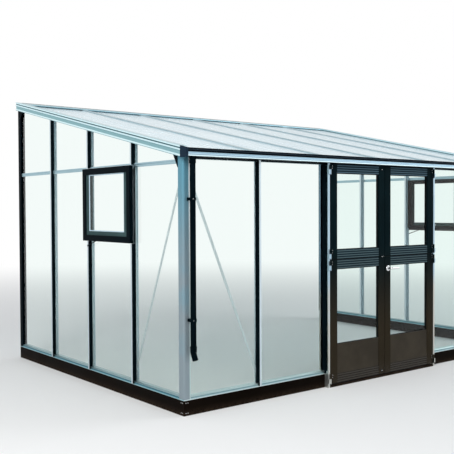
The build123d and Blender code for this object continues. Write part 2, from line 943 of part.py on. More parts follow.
with BuildPart() as downpipes:
    with BuildLine() as pipe_line:
        FilletPolyline(
            (pipe_x, pipe_y, gutter_floor),
            (pipe_x, pipe_y, pipe_foot),
            (
                pipe_x,
                pipe_y - shoe_drop * math.sin(math.radians(shoe_angle)),
                pipe_foot - shoe_drop * math.cos(math.radians(shoe_angle)),
            ),
            radius=pipe_radius + pipe_wall,
        )
    with BuildSketch(Plane(origin=(pipe_x, pipe_y, gutter_floor), z_dir=(0, 0, -1))):
        Circle(pipe_radius)
        Circle(pipe_radius - pipe_wall, mode=Mode.SUBTRACT)
    sweep(path=pipe_line.wires()[0])
    mirror(about=Plane.YZ)
save(downpipes, "downpipes")

# Clips that hold the pipes to the corner posts
with BuildPart() as pipe_clips:
    for level in (pipe_foot + clip_low_rise, eave_height - clip_high_drop):
        with BuildSketch(Plane.XY.offset(level)):
            with Locations((pipe_x, pipe_y)):
                Circle(pipe_radius + clip_wall)
            with Locations((pipe_x - pipe_radius / 2, front - pipe_out / 2)):
                Rectangle(pipe_radius, pipe_out)
            with Locations((pipe_x, pipe_y)):
                Circle(pipe_radius + clip_play, mode=Mode.SUBTRACT)
        extrude(amount=clip_height)
    mirror(about=Plane.YZ)
save(pipe_clips, "pipe_clips")

# Door leaves: each is a lower and an upper half, hinged on the outer stile
lower_low = leaf_bottom
lower_high = split_level - split_gap / 2
upper_low = split_level + split_gap / 2
upper_high = leaf_top
rail_left = -leaf_outer + outer_stile
rail_right = -leaf_inner - inner_stile
handle_x = leaf_inner + inner_stile / 2
spindle_bore = neck_radius + neck_play


def stile_pair(side):
    """Outer and inner stiles of both halves of one leaf; side is -1 on the left, 1 on the right."""
    with BuildPart() as stiles:
        for low, high in ((lower_low, lower_high), (upper_low, upper_high)):
            with BuildSketch(Plane.XY.offset(low)):
                with Locations((side * (leaf_outer - outer_stile / 2), (leaf_face + leaf_back) / 2)):
                    Rectangle(outer_stile, leaf_thickness)
                with Locations((side * (leaf_inner + inner_stile / 2), (leaf_face + leaf_back) / 2)):
                    Rectangle(inner_stile, leaf_thickness)
            extrude(amount=high - low)
    return stiles


left_stiles = stile_pair(-1)
save(left_stiles, "left_stiles")

with BuildPart() as right_stiles:
    add(stile_pair(1).part)
    with Locations(Plane(origin=(handle_x, leaf_face, handle_level), x_dir=(1, 0, 0), z_dir=(0, -1, 0))):
        Hole(radius=spindle_bore, depth=leaf_thickness)
save(right_stiles, "right_stiles")

rail_face = leaf_face + rail_setback
rail_back = leaf_back - rail_setback
rail_spans = (
    (lower_low, lower_low + ribbed_rail),
    (lower_high - ribbed_rail, lower_high),
    (upper_low, upper_low + ribbed_rail),
    (upper_high - top_rail, upper_high),
)


def ribbed_section(low, high):
    """Rail section with level ribs on its outer face."""
    count = round((high - low) / rib_pitch)
    step = (high - low) / count
    points = [(rail_back, low), (rail_back, high)]
    for n in range(count, 0, -1):
        top = low + n * step
        points += [
            (rail_face + rib_depth, top),
            (rail_face, top - step / 4),
            (rail_face, top - step * 3 / 4),
        ]
    points += [(rail_face + rib_depth, low)]
    Polyline(*points, close=True)


with BuildPart() as left_rails:
    for rail_low, rail_high in rail_spans:
        with BuildSketch(Plane.YZ.offset(rail_left)):
            with BuildLine():
                ribbed_section(rail_low, rail_high)
            make_face()
        extrude(amount=rail_right - rail_left)
save(left_rails, "left_rails")

with BuildPart() as left_panel:
    with BuildSketch(Plane.YZ.offset(rail_left)):
        with Locations(
            (leaf_face + panel_setback + panel_thickness / 2, (lower_low + ribbed_rail + panel_top) / 2)
        ):
            Rectangle(panel_thickness, panel_top - lower_low - ribbed_rail)
    extrude(amount=rail_right - rail_left)
save(left_panel, "left_panel")

with BuildPart() as left_glass:
    for pane_low, pane_high in (
        (panel_top, lower_high - ribbed_rail),
        (upper_low + ribbed_rail, upper_high - top_rail),
    ):
        with BuildSketch(Plane.XZ.offset(-leaf_face - leaf_glass_depth)):
            with Locations(((rail_left + rail_right) / 2, (pane_low + pane_high) / 2)):
                Rectangle(rail_right - rail_left, pane_high - pane_low)
        extrude(amount=-glass)
save(left_glass, "left_glass")

for source, name in (
    (left_rails, "right_rails"),
    (left_panel, "right_panel"),
    (left_glass, "right_glass"),
):
    with BuildPart() as twin:
        add(source.part.mirror(Plane.YZ))
    save(twin, name)

# Hinges: a fixed knuckle with its pin on the casing, a turning knuckle on the stile
hinge_levels = []
for half_low, half_high in ((lower_low, lower_high), (upper_low, upper_high)):
    hinge_levels += [half_low + hinge_end_gap, half_high - hinge_end_gap - hinge_height]
knuckle = (hinge_height - knuckle_gap) / 2

with BuildPart() as hinge_knuckles:
    for level in hinge_levels:
        with BuildSketch(Plane.XY.offset(level)):
            with Locations((-hinge_x, hinge_y)):
                Circle(hinge_radius)
            with Locations((-jamb_half - casing / 2, (hinge_y + leaf_face) / 2)):
                Rectangle(casing, hinge_stand)
        extrude(amount=knuckle)
        with BuildSketch(Plane.XY.offset(level)):
            with Locations((-hinge_x, hinge_y)):
                Circle(hinge_pin)
        extrude(amount=hinge_height)
    mirror(about=Plane.YZ)
save(hinge_knuckles, "hinge_knuckles")

with BuildPart() as left_hinges:
    for level in hinge_levels:
        with BuildSketch(Plane.XY.offset(level + knuckle + knuckle_gap)):
            with Locations((-hinge_x, hinge_y)):
                Circle(hinge_radius)
            with Locations((-hinge_x + flag_width / 2, leaf_face - flag_wall / 2)):
                Rectangle(flag_width, flag_wall)
            with Locations((-hinge_x, hinge_y)):
                Circle(hinge_pin + pin_play, mode=Mode.SUBTRACT)
        extrude(amount=knuckle)
save(left_hinges, "left_hinges")

with BuildPart() as right_hinges:
    add(left_hinges.part.mirror(Plane.YZ))
save(right_hinges, "right_hinges")

# Latches on the left leaf's meeting stile: at the top, over the split and at the bottom
latch_x = -leaf_inner - inner_stile / 2
latch_levels = (leaf_bottom + latch_height, split_level, leaf_top - latch_height)

with BuildPart() as left_latches:
    with Locations(*[(latch_x, leaf_face - latch_wall / 2, level) for level in latch_levels]):
        Box(latch_width, latch_wall, latch_height)
save(left_latches, "left_latches")

# Lever handle through the right leaf's meeting stile, with a rose on each face
with BuildPart() as handle_roses:
    with BuildSketch(Plane(origin=(handle_x, leaf_face, handle_level), x_dir=(1, 0, 0), z_dir=(0, -1, 0))):
        Circle(rose_radius)
        Circle(spindle_bore, mode=Mode.SUBTRACT)
    extrude(amount=rose_wall)
    with BuildSketch(Plane(origin=(handle_x, leaf_back, handle_level), x_dir=(1, 0, 0), z_dir=(0, 1, 0))):
        Circle(rose_radius)
        Circle(spindle_bore, mode=Mode.SUBTRACT)
    extrude(amount=rose_wall)
save(handle_roses, "handle_roses")

spindle_length = leaf_thickness + 2 * (handle_reach - lever_wall / 2)
lever_front = leaf_face - handle_reach
lever_back = leaf_back + handle_reach - lever_wall

with BuildPart() as lever_handle:
    with BuildSketch(
        Plane(
            origin=(handle_x, lever_front + lever_wall / 2, handle_level),
            x_dir=(1, 0, 0),
            z_dir=(0, 1, 0),
        )
    ):
        Circle(neck_radius)
    extrude(amount=spindle_length)
    for lever_y in (lever_front, lever_back):
        with BuildSketch(Plane.XZ.offset(-lever_y)):
            with Locations((handle_x + lever_length / 2 - lever_height / 2, handle_level)):
                SlotOverall(lever_length, lever_height)
        extrude(amount=-lever_wall)
save(lever_handle, "lever_handle")
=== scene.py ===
import math

import bpy
from mathutils import Matrix, Vector


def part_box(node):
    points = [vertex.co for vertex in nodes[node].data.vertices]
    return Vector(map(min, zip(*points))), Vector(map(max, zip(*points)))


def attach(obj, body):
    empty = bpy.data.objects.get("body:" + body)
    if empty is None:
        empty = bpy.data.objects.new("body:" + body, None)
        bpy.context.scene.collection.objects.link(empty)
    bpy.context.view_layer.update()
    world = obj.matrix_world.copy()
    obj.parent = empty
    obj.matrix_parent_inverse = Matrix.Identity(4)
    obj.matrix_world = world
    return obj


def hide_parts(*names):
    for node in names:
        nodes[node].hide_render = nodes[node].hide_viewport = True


# Lean-to glass greenhouse, in metres: X along the front, -Y is the front, Z is up.
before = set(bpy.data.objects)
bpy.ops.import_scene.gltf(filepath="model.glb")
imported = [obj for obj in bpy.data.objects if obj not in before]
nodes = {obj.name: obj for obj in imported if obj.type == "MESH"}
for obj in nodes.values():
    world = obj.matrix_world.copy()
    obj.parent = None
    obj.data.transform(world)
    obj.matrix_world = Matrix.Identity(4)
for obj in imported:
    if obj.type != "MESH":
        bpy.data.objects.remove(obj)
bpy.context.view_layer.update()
scene = bpy.context.scene

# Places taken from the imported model
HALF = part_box("sill_front")[1].x
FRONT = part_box("sill_front")[0].y
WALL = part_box("sill_sides")[1].y
LEAF_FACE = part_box("left_stiles")[0].y
LEAF_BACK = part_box("left_stiles")[1].y
LEAF_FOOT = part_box("left_rails")[0].z
LEAF_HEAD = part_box("left_rails")[1].z
SHEET_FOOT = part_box("roof_sheets")[0].y

# Sizes of the roof, the bays and the leaves
PITCH = math.radians(12.2)
EAVE = 2.010
BAY = 0.735
ROOF_BARS = [n * BAY for n in range(-2, 3)]
ROOF_BAR_HALF = 0.030
RAKE_HEIGHT = 0.083
RAKE_INSIDE = HALF - 0.036
SHEET = 0.010
SHEET_DROP = 0.026
RAIL = 0.080
TOP_RAIL = 0.075
SPLIT_LEVEL = 1.100
SPLIT_GAP = 0.0035
RAIL_SPANS = (
    (LEAF_FOOT, LEAF_FOOT + RAIL),
    (SPLIT_LEVEL - SPLIT_GAP - RAIL, SPLIT_LEVEL - SPLIT_GAP),
    (SPLIT_LEVEL + SPLIT_GAP, SPLIT_LEVEL + SPLIT_GAP + RAIL),
    (LEAF_HEAD - TOP_RAIL, LEAF_HEAD),
)


def roof_z(y):
    """Height of the roof line over a place on the Y axis."""
    return EAVE + (y - FRONT) * math.tan(PITCH)


def along_roof(start_y, end_y):
    """Travel up the slope between two places on the Y axis."""
    return Vector((0, end_y - start_y, (end_y - start_y) * math.tan(PITCH)))


# Camera at the photograph's place
YAW, TILT, ROLL = 0.66872, -0.02434, -0.00444
CAMERA_PLACE = (-5.4785, -6.0851, 1.5451)
FOCAL_SHARE = 769.23 / 454
ahead = Vector((math.sin(YAW) * math.cos(TILT), math.cos(YAW) * math.cos(TILT), math.sin(TILT)))
level_right = Vector((math.cos(YAW), -math.sin(YAW), 0))
level_up = level_right.cross(ahead)
right = level_right * math.cos(ROLL) + level_up * math.sin(ROLL)
up = level_up * math.cos(ROLL) - level_right * math.sin(ROLL)
camera_data = bpy.data.cameras.new("camera")
camera = bpy.data.objects.new("camera", camera_data)
scene.collection.objects.link(camera)
camera.matrix_world = Matrix((
    (right.x, up.x, -ahead.x, CAMERA_PLACE[0]),
    (right.y, up.y, -ahead.y, CAMERA_PLACE[1]),
    (right.z, up.z, -ahead.z, CAMERA_PLACE[2]),
    (0, 0, 0, 1),
))
camera_data.sensor_width = 36
camera_data.lens = 36 * FOCAL_SHARE
camera_data.clip_end = 200
scene.camera = camera


# Materials
SOFT_EDGE = 0.0006


def add_node(tree, kind, links=None, **settings):
    """New shader node: links feed its inputs, in_ settings are input values, others are properties."""
    node = tree.nodes.new(kind)
    for key, value in settings.items():
        if key.startswith("in_"):
            key = key[3:]
            node.inputs[int(key) if key.isdigit() else key.replace("_", " ")].default_value = value
        else:
            setattr(node, key, value)
    for key, source in (links or {}).items():
        tree.links.new(source, node.inputs[key])
    return node


class Shader:
    """A node material around one Principled shader, with object coordinates in metres."""

    def __init__(self, name, **settings):
        self.material = bpy.data.materials.new(name)
        self.material.use_nodes = True
        self.tree = self.material.node_tree
        self.shader = self.tree.nodes["Principled BSDF"]
        self.place = self.add("ShaderNodeTexCoord").outputs["Object"]
        for socket, value in settings.items():
            self.shader.inputs[socket.replace("_", " ")].default_value = value

    def add(self, kind, links=None, **settings):
        return add_node(self.tree, kind, links, **settings)

    def stretched(self, scale, turn=(0, 0, 0)):
        links = {"Vector": self.place}
        return self.add("ShaderNodeMapping", links, in_Scale=scale, in_Rotation=turn).outputs[0]

    def noise(self, scale, detail=4, place=None, roughness=0.55):
        links = {"Vector": place or self.place}
        settings = {"in_Scale": scale, "in_Detail": detail, "in_Roughness": roughness}
        return self.add("ShaderNodeTexNoise", links, **settings).outputs["Fac"]

    def band(self, source, low, high, start=0.0, end=1.0):
        """Smooth change from start to end while source goes from low to high."""
        settings = {"in_1": low, "in_2": high, "in_3": start, "in_4": end}
        links = {"Value": source}
        return self.add("ShaderNodeMapRange", links, interpolation_type="SMOOTHSTEP", **settings).outputs[0]

    def maths(self, operation, first, second):
        node = self.add("ShaderNodeMath", operation=operation)
        for index, value in enumerate((first, second)):
            if isinstance(value, (int, float)):
                node.inputs[index].default_value = value
            else:
                self.tree.links.new(value, node.inputs[index])
        return node.outputs[0]

    def both(self, first, second):
        """Product of two shares."""
        return self.maths("MULTIPLY", first, second)

    def axis(self, name):
        return self.add("ShaderNodeSeparateXYZ", {"Vector": self.place}).outputs[name]

    def above(self, source, place, soft=SOFT_EDGE):
        """1 above a place and 0 below it, with a soft edge."""
        return self.band(source, place - soft, place + soft)

    def below(self, source, place, soft=SOFT_EDGE):
        """1 below a place and 0 above it, with a soft edge."""
        return self.band(source, place - soft, place + soft, 1, 0)

    def from_middle(self):
        """Distance from the middle of the front."""
        return self.maths("ABSOLUTE", self.axis("X"), 0)

    def over_roof_line(self):
        """Height over the roof line, which is below 0 on the rakes."""
        rise = self.maths("MULTIPLY", self.axis("Y"), math.tan(PITCH))
        return self.maths("SUBTRACT", self.axis("Z"), self.maths("ADD", rise, roof_z(0)))

    def facing_up(self):
        normal = self.add("ShaderNodeNewGeometry").outputs["Normal"]
        return self.add("ShaderNodeSeparateXYZ", {"Vector": normal}).outputs["Z"]

    def mix(self, share, first, second):
        node = self.add("ShaderNodeMix", {"Factor": share}, data_type="RGBA")
        for key, value in (("A", first), ("B", second)):
            socket = [s for s in node.inputs if s.name == key and s.type == "RGBA"][0]
            if isinstance(value, tuple):
                socket.default_value = (*value, 1)
            else:
                self.tree.links.new(value, socket)
        return [s for s in node.outputs if s.type == "RGBA"][0]

    def striped(self, colour, level, stripes, soft=SOFT_EDGE):
        """Painted light and shade in level stripes: (low, high, shade) for each."""
        for low, high, shade in stripes:
            inside = self.both(self.above(level, low, soft), self.below(level, high, soft))
            colour = self.mix(inside, colour, shade)
        return colour

    def set(self, socket, source):
        self.tree.links.new(source, self.shader.inputs[socket])

    def bump(self, height, distance, strength=1.0):
        node = self.add("ShaderNodeBump", {"Height": height}, in_Distance=distance, in_Strength=strength)
        self.set("Normal", node.outputs[0])


DIE_LINES = {"x": (2, 260, 260), "y": (260, 2, 260), "z": (260, 260, 2), "slope": (260, 2, 260)}


def aluminium(name, along, tone, dark, low_tone=None, low_range=(0.9, 1.9), stripes=(), metal=1.0, soft=0.0,
              paint=None):
    """Extruded aluminium: die lines along the bar, a soft oxide bloom and dust on upward faces."""
    look = Shader(name, Metallic=metal, Specular_IOR_Level=0.3)
    turn = (-PITCH, 0, 0) if along == "slope" else (0, 0, 0)
    lines = look.noise(1.0, 3, look.stretched(DIE_LINES[along], turn))
    bloom = look.noise(3.1, 5)
    fine = look.noise(60, 3)
    colour = look.mix(look.band(lines, 0.30, 0.70), dark, tone)
    if low_tone:
        colour = look.mix(look.band(look.axis("Z"), *low_range, 1, 0), colour, low_tone)
    pale = tuple(min(1.0, part * 1.12) for part in tone)
    colour = look.mix(look.band(bloom, 0.45, 0.75, 0, 0.45), colour, pale)
    dust = look.both(look.band(look.facing_up(), 0.5, 1.0), look.band(bloom, 0.35, 0.65, 0.1, 0.5))
    colour = look.mix(dust, colour, (0.55, 0.54, 0.50))
    # Painted light and shade in stripes across the section
    if stripes:
        level = look.over_roof_line() if along == "slope" else look.axis("Z")
        colour = look.striped(colour, level, stripes)
    # Painted highlight and painted shade by place, from the part's paint function
    if paint:
        colour = paint(look, colour)
    look.set("Base Color", colour)
    rough = look.band(lines, 0.2, 0.8, 0.30 + soft, 0.38 + soft)
    rough = look.maths("ADD", rough, look.band(bloom, 0.3, 0.8, 0.0, 0.12))
    look.set("Roughness", look.maths("ADD", rough, look.band(fine, 0.3, 0.7, 0.0, 0.05)))
    look.bump(lines, 0.0002, 0.5)
    return look.material


POST_METAL = 0.35
POST_HIGHLIGHT_EDGE = HALF - 0.053
POST_FACE = FRONT + 0.0015


def post_highlight_paint(look, colour):
    """Painted highlight: a pale strip along the inner edge of the corner posts' front face, brighter higher
    up and less metallic so that it shows.
    """
    face = look.below(look.axis("Y"), POST_FACE, 0.0005)
    strip = look.both(look.below(look.from_middle(), POST_HIGHLIGHT_EDGE), face)
    pale = look.mix(look.band(look.axis("Z"), 0.9, 1.9), (0.47, 0.60, 0.60), (0.82, 0.92, 0.95))
    look.set("Metallic", look.band(strip, 0, 1, POST_METAL, 0.1))
    return look.mix(strip, colour, pale)


BEAM_FACE = FRONT + 0.0011


def beam_shade_paint(look, colour):
    """Painted shade: the eave beam's front face, in shade under the gutter, painted black."""
    return look.mix(look.below(look.axis("Y"), BEAM_FACE, 0.0001), colour, (0.008, 0.012, 0.016))


KNUCKLE_SHADE = 0.7135


def knuckle_shade_paint(look, colour):
    """Painted shade: the fixed knuckles' side towards the leaves, nearly black."""
    return look.mix(look.below(look.from_middle(), KNUCKLE_SHADE, 0.0004), colour, (0.002, 0.006, 0.009))


FLANK = BAY - 0.0006
FLANK_DEPTH = (FRONT - 0.034, FRONT + 0.0105)
FLANK_FOOT = 0.145


def casing_shade_paint(look, colour):
    """Painted shade: the casings' outer flank above the sill, nearly black."""
    depth = look.axis("Y")
    inside = look.both(look.above(depth, FLANK_DEPTH[0], 0.0005), look.below(depth, FLANK_DEPTH[1], 0.0005))
    inside = look.both(inside, look.above(look.axis("Z"), FLANK_FOOT, 0.001))
    flank = look.both(look.above(look.from_middle(), FLANK, 0.0002), inside)
    return look.mix(flank, colour, (0.002, 0.005, 0.008))


def coated(name, tone, dust_tone, rough, gloss, tint=(1, 1, 1), splash=None, low_tone=None, stripes=()):
    """Powder-coated metal: orange peel, uneven gloss, dust on ledges and dried splashes near the ground."""
    look = Shader(name, Metallic=0.0, Specular_IOR_Level=gloss, Specular_Tint=(*tint, 1))
    cloud = look.noise(4.0, 5)
    peeling = look.noise(650, 2)
    speck = look.noise(90, 6, roughness=0.7)
    lighter = tuple(part * 1.5 + 0.0005 for part in tone)
    colour = look.mix(look.band(cloud, 0.35, 0.75), tone, lighter)
    # Painted reflection: the leaves' lower tone, brownish towards the foot
    if low_tone:
        colour = look.mix(look.band(look.axis("Z"), 0.35, 1.25, 1, 0), colour, low_tone)
    # Painted highlights in stripes, on the rails' ribs and in the eave trim's groove
    if stripes:
        colour = look.striped(colour, look.axis("Z"), stripes, 0.0012)
    dust = look.both(look.band(look.facing_up(), 0.6, 1.0), look.band(cloud, 0.3, 0.7, 0.05, 0.35))
    colour = look.mix(dust, colour, dust_tone)
    if splash:
        height = look.maths("ADD", look.axis("Z"), look.band(speck, 0.2, 0.8, -0.045, 0.045))
        share = look.both(look.band(height, 0.0, splash, 0.55, 0.0), look.band(speck, 0.42, 0.62))
        colour = look.mix(share, colour, dust_tone)
    look.set("Base Color", colour)
    uneven = look.band(cloud, 0.3, 0.7, *rough)
    look.set("Roughness", look.maths("ADD", uneven, look.band(speck, 0.4, 0.7, 0.0, 0.06)))
    look.bump(peeling, 0.00012, 0.6)
    return look.material


def clear_glass(name, tint, film, sheen=(1, 1, 1)):
    """Float glass: faint green body, washed streaks and a film of dust that thickens near the sill."""
    tinted = (*sheen, 1)
    look = Shader(name, IOR=1.22, Transmission_Weight=1.0, Specular_IOR_Level=0.5, Specular_Tint=tinted)
    streaks = look.noise(1.0, 4, look.stretched((14, 14, 0.8)))
    drops = look.noise(220, 5, roughness=0.7)
    low = look.band(look.axis("Z"), 0.14, 0.55, 1.0, 0.0)
    share = look.both(look.band(streaks, 0.5, 0.8, 0.02, 0.12), look.band(drops, 0.35, 0.7))
    share = look.maths("ADD", share, look.both(low, look.band(drops, 0.4, 0.7, 0.02, 0.16)))
    look.set("Base Color", look.mix(share, tint, film))
    look.set("Roughness", look.both(share, 0.35))
    return look.material


def twin_wall(name):
    """Milky twin-wall sheet: close ribs along the slope, uneven milkiness and rain streaks."""
    look = Shader(name, IOR=1.45, Transmission_Weight=0.12, Specular_IOR_Level=0.5, Subsurface_Weight=0.0)
    across = look.add("ShaderNodeMath", {0: look.axis("X")}, operation="PINGPONG", in_1=0.0055).outputs[0]
    rib = look.band(across, 0.0, 0.0012, 1.0, 0.0)
    streaks = look.noise(1.0, 4, look.stretched((26, 1.2, 1.2)))
    cloud = look.noise(1.4, 4)
    colour = look.mix(look.band(cloud, 0.35, 0.7), (0.60, 0.765, 0.84), (0.67, 0.82, 0.88))
    colour = look.mix(look.both(rib, 0.30), colour, (0.55, 0.68, 0.75))
    colour = look.mix(look.band(streaks, 0.55, 0.80, 0.0, 0.15), colour, (0.55, 0.64, 0.68))
    look.set("Base Color", colour)
    look.set("Roughness", look.band(streaks, 0.3, 0.8, 0.16, 0.34))
    look.bump(rib, 0.0003, 0.6)
    return look.material


def bright(name, tone, rough):
    """Polished or brushed fitting metal with fine scratches and finger marks."""
    look = Shader(name, Metallic=1.0)
    scratch = look.noise(1.0, 3, look.stretched((900, 900, 60)))
    cloud = look.noise(35, 3)
    touched = tuple(part * 0.88 for part in tone)
    look.set("Base Color", look.mix(look.band(cloud, 0.4, 0.7), tone, touched))
    scratched = look.band(scratch, 0.3, 0.7, rough, rough + 0.08)
    look.set("Roughness", look.maths("ADD", scratched, look.band(cloud, 0.45, 0.75, 0.0, 0.08)))
    look.bump(scratch, 0.00004, 0.5)
    return look.material


def rubber(name, tone):
    """Matt rubber with a chalky bloom."""
    look = Shader(name, Roughness=0.75, Specular_IOR_Level=0.1)
    chalky = tuple(part * 1.5 + 0.004 for part in tone)
    bloom = look.band(look.noise(24, 5), 0.45, 0.75, 0.0, 0.4)
    look.set("Base Color", look.mix(bloom, tone, chalky))
    look.bump(look.noise(500, 3), 0.0001, 0.5)
    return look.material


def bristle(name):
    """Brush seal: fine upright bristles."""
    look = Shader(name, Roughness=0.85)
    hairs = look.noise(1.0, 2, look.stretched((1800, 1800, 20)))
    colour = look.mix(look.band(hairs, 0.35, 0.65), (0.006, 0.006, 0.006), (0.05, 0.05, 0.05))
    look.set("Base Color", colour)
    look.bump(hairs, 0.0006, 1.0)
    return look.material


# Painted light and shade on the grooved sections, as light and dark stripes: (low, high, shade), by height
SILL_LIGHT_AND_SHADE = (
    (0.1145, 0.1200, (0.78, 0.91, 0.93)),
    (0.1200, 0.1270, (0.38, 0.53, 0.57)),
    (0.1270, 0.1340, (0.17, 0.31, 0.34)),
    (0.1340, 0.1460, (0.55, 0.69, 0.70)),
)
GABLE_SILL_LIGHT_AND_SHADE = (
    (0.1145, 0.1200, (0.48, 0.70, 0.76)),
    (0.1200, 0.1270, (0.14, 0.36, 0.43)),
    (0.1270, 0.1340, (0.04, 0.16, 0.21)),
    (0.1340, 0.1460, (0.32, 0.45, 0.48)),
)
GUTTER_LIGHT_AND_SHADE = (
    (1.9270, 1.9305, (0.002, 0.004, 0.006)),
    (1.9305, 1.9380, (0.76, 0.95, 1.0)),
    (1.9380, 1.9460, (0.33, 0.47, 0.57)),
    (1.9460, 1.9535, (0.52, 0.72, 0.84)),
    (1.9535, 1.9605, (0.35, 0.51, 0.62)),
    (1.9605, 1.9670, (0.002, 0.004, 0.006)),
)
TRIM_HIGHLIGHT = ((1.9750, 1.9820, (0.020, 0.030, 0.042)),)

# The same painted light and shade on the rakes, by height from the roof line
RAKE_LIGHT_AND_SHADE = (
    (-0.0135, -0.0025, (0.72, 0.93, 0.98)),
    (-0.0235, -0.0135, (0.07, 0.17, 0.20)),
    (-0.0365, -0.0235, (0.68, 0.89, 0.95)),
    (-0.0660, -0.0365, (0.26, 0.46, 0.50)),
    (-0.0785, -0.0660, (0.74, 0.94, 0.98)),
    (-0.0850, -0.0785, (0.24, 0.40, 0.45)),
)

# A painted highlight on each rib of the leaves' rails, on the rib's lit flank: (the rail's lower edge,
# shade), from the foot up
RIBS = 4
RIB_PITCH = RAIL / RIBS
RIB_HIGHLIGHT_SPAN = (0.004, 0.012)
RIB_HIGHLIGHT_TONES = (
    (RAIL_SPANS[0][0], (0.070, 0.062, 0.052)),
    (RAIL_SPANS[1][0], (0.078, 0.118, 0.130)),
    (RAIL_SPANS[2][0], (0.078, 0.122, 0.136)),
    (RAIL_SPANS[3][0] - 0.001, (0.078, 0.132, 0.170)),
)
RIB_HIGHLIGHTS = [
    (edge + RIB_HIGHLIGHT_SPAN[0] + RIB_PITCH * n, edge + RIB_HIGHLIGHT_SPAN[1] + RIB_PITCH * n, shade)
    for edge, shade in RIB_HIGHLIGHT_TONES for n in range(RIBS)
]

CASING_TONES = ((0.48, 0.63, 0.73), (0.38, 0.52, 0.62))
CASING_FOOT = {"low_tone": (0.59, 0.58, 0.535), "low_range": (0.75, 0.95)}
GLASS_TONES = ((0.90, 0.965, 0.945), (0.80, 0.84, 0.82))
BLACK_COAT = {"rough": (0.30, 0.45), "gloss": 0.014, "tint": (0.5, 0.85, 1.0)}
LEAF_COAT = {"rough": (0.36, 0.5), "splash": 0.20}
finishes = {
    "post": aluminium("alu_post", "z", (0.12, 0.31, 0.40), (0.09, 0.26, 0.35), low_tone=(0.25, 0.31, 0.345),
                      metal=POST_METAL, soft=0.15, paint=post_highlight_paint),
    "bar": aluminium("alu_bar", "z", (0.66, 0.76, 0.81), (0.55, 0.64, 0.69)),
    "casing": aluminium("alu_casing", "z", *CASING_TONES, paint=casing_shade_paint, **CASING_FOOT),
    "knuckle": aluminium("alu_knuckle", "z", *CASING_TONES, paint=knuckle_shade_paint, **CASING_FOOT),
    "sill": aluminium("alu_sill", "x", (0.50, 0.66, 0.70), (0.40, 0.56, 0.61), stripes=SILL_LIGHT_AND_SHADE),
    # Painted shade: the gable sills are the front sill's aluminium in darker, more teal tones
    "gable_sill": aluminium("alu_gable_sill", "y", (0.34, 0.50, 0.56), (0.26, 0.42, 0.48),
                            stripes=GABLE_SILL_LIGHT_AND_SHADE),
    "rail": aluminium("alu_rail", "y", (0.40, 0.57, 0.63), (0.30, 0.46, 0.53)),
    "gutter": aluminium("alu_gutter", "x", (0.58, 0.74, 0.83), (0.48, 0.64, 0.74), stripes=GUTTER_LIGHT_AND_SHADE),
    "rake": aluminium("alu_rake", "slope", (0.44, 0.62, 0.68), (0.34, 0.53, 0.60), stripes=RAKE_LIGHT_AND_SHADE),
    "roof_bar": aluminium("alu_roof_bar", "slope", (0.35, 0.49, 0.55), (0.27, 0.41, 0.48)),
    "plate": aluminium("alu_plate", "x", (0.34, 0.56, 0.64), (0.26, 0.47, 0.56)),
    "beam": aluminium("alu_beam", "x", (0.50, 0.61, 0.68), (0.40, 0.50, 0.57), paint=beam_shade_paint),
    "brace": aluminium("alu_brace", "z", (0.72, 0.76, 0.79), (0.60, 0.65, 0.69)),
    "black": coated("black_coat", (0.0010, 0.0034, 0.0052), (0.04, 0.045, 0.05), **BLACK_COAT),
    "end": coated("end_coat", (0.0105, 0.0210, 0.0360), (0.04, 0.05, 0.06), rough=(0.34, 0.48), gloss=0.02,
                  tint=(0.6, 0.85, 1.0)),
    "trim": coated("trim_coat", (0.0008, 0.0026, 0.0048), (0.03, 0.035, 0.04), stripes=TRIM_HIGHLIGHT,
                   **BLACK_COAT),
    "vent_rim": coated("vent_rim_coat", (0.036, 0.066, 0.068), (0.10, 0.11, 0.11), rough=(0.36, 0.5),
                       gloss=0.02, tint=(0.5, 0.95, 1.0)),
    "plinth": coated("plinth_coat", (0.0034, 0.0021, 0.0014), (0.09, 0.06, 0.04), rough=(0.34, 0.5),
                     gloss=0.018, tint=(1, 0.85, 0.7), splash=0.07),
    # The leaves' low tones are a painted reflection, brownish towards the foot
    "door": coated("door_coat", (0.0010, 0.0060, 0.0080), (0.07, 0.065, 0.06), gloss=0.02,
                   tint=(0.4, 0.9, 1.0), low_tone=(0.0285, 0.0215, 0.0130), **LEAF_COAT),
    "panel": coated("panel_coat", (0.034, 0.028, 0.020), (0.08, 0.07, 0.06), gloss=0.06, **LEAF_COAT),
    "ribbed": coated("ribbed_coat", (0.006, 0.018, 0.026), (0.07, 0.065, 0.06), gloss=0.04,
                     tint=(0.5, 0.9, 1.0), low_tone=(0.024, 0.020, 0.016), stripes=RIB_HIGHLIGHTS,
                     **LEAF_COAT),
    "glass": clear_glass("pane_glass", *GLASS_TONES),
    "vent_pane": clear_glass("vent_pane_glass", *GLASS_TONES, sheen=(0.4, 0.9, 0.9)),
    "sheet": twin_wall("roof_sheet"),
    "chrome": bright("bright_chrome", (0.80, 0.81, 0.82), 0.10),
    "steel": bright("stainless", (0.62, 0.63, 0.64), 0.24),
    "rubber": rubber("rubber_seal", (0.004, 0.005, 0.006)),
    "grey_rubber": rubber("grey_seal", (0.36, 0.48, 0.53)),
    "brush": bristle("brush_seal"),
}
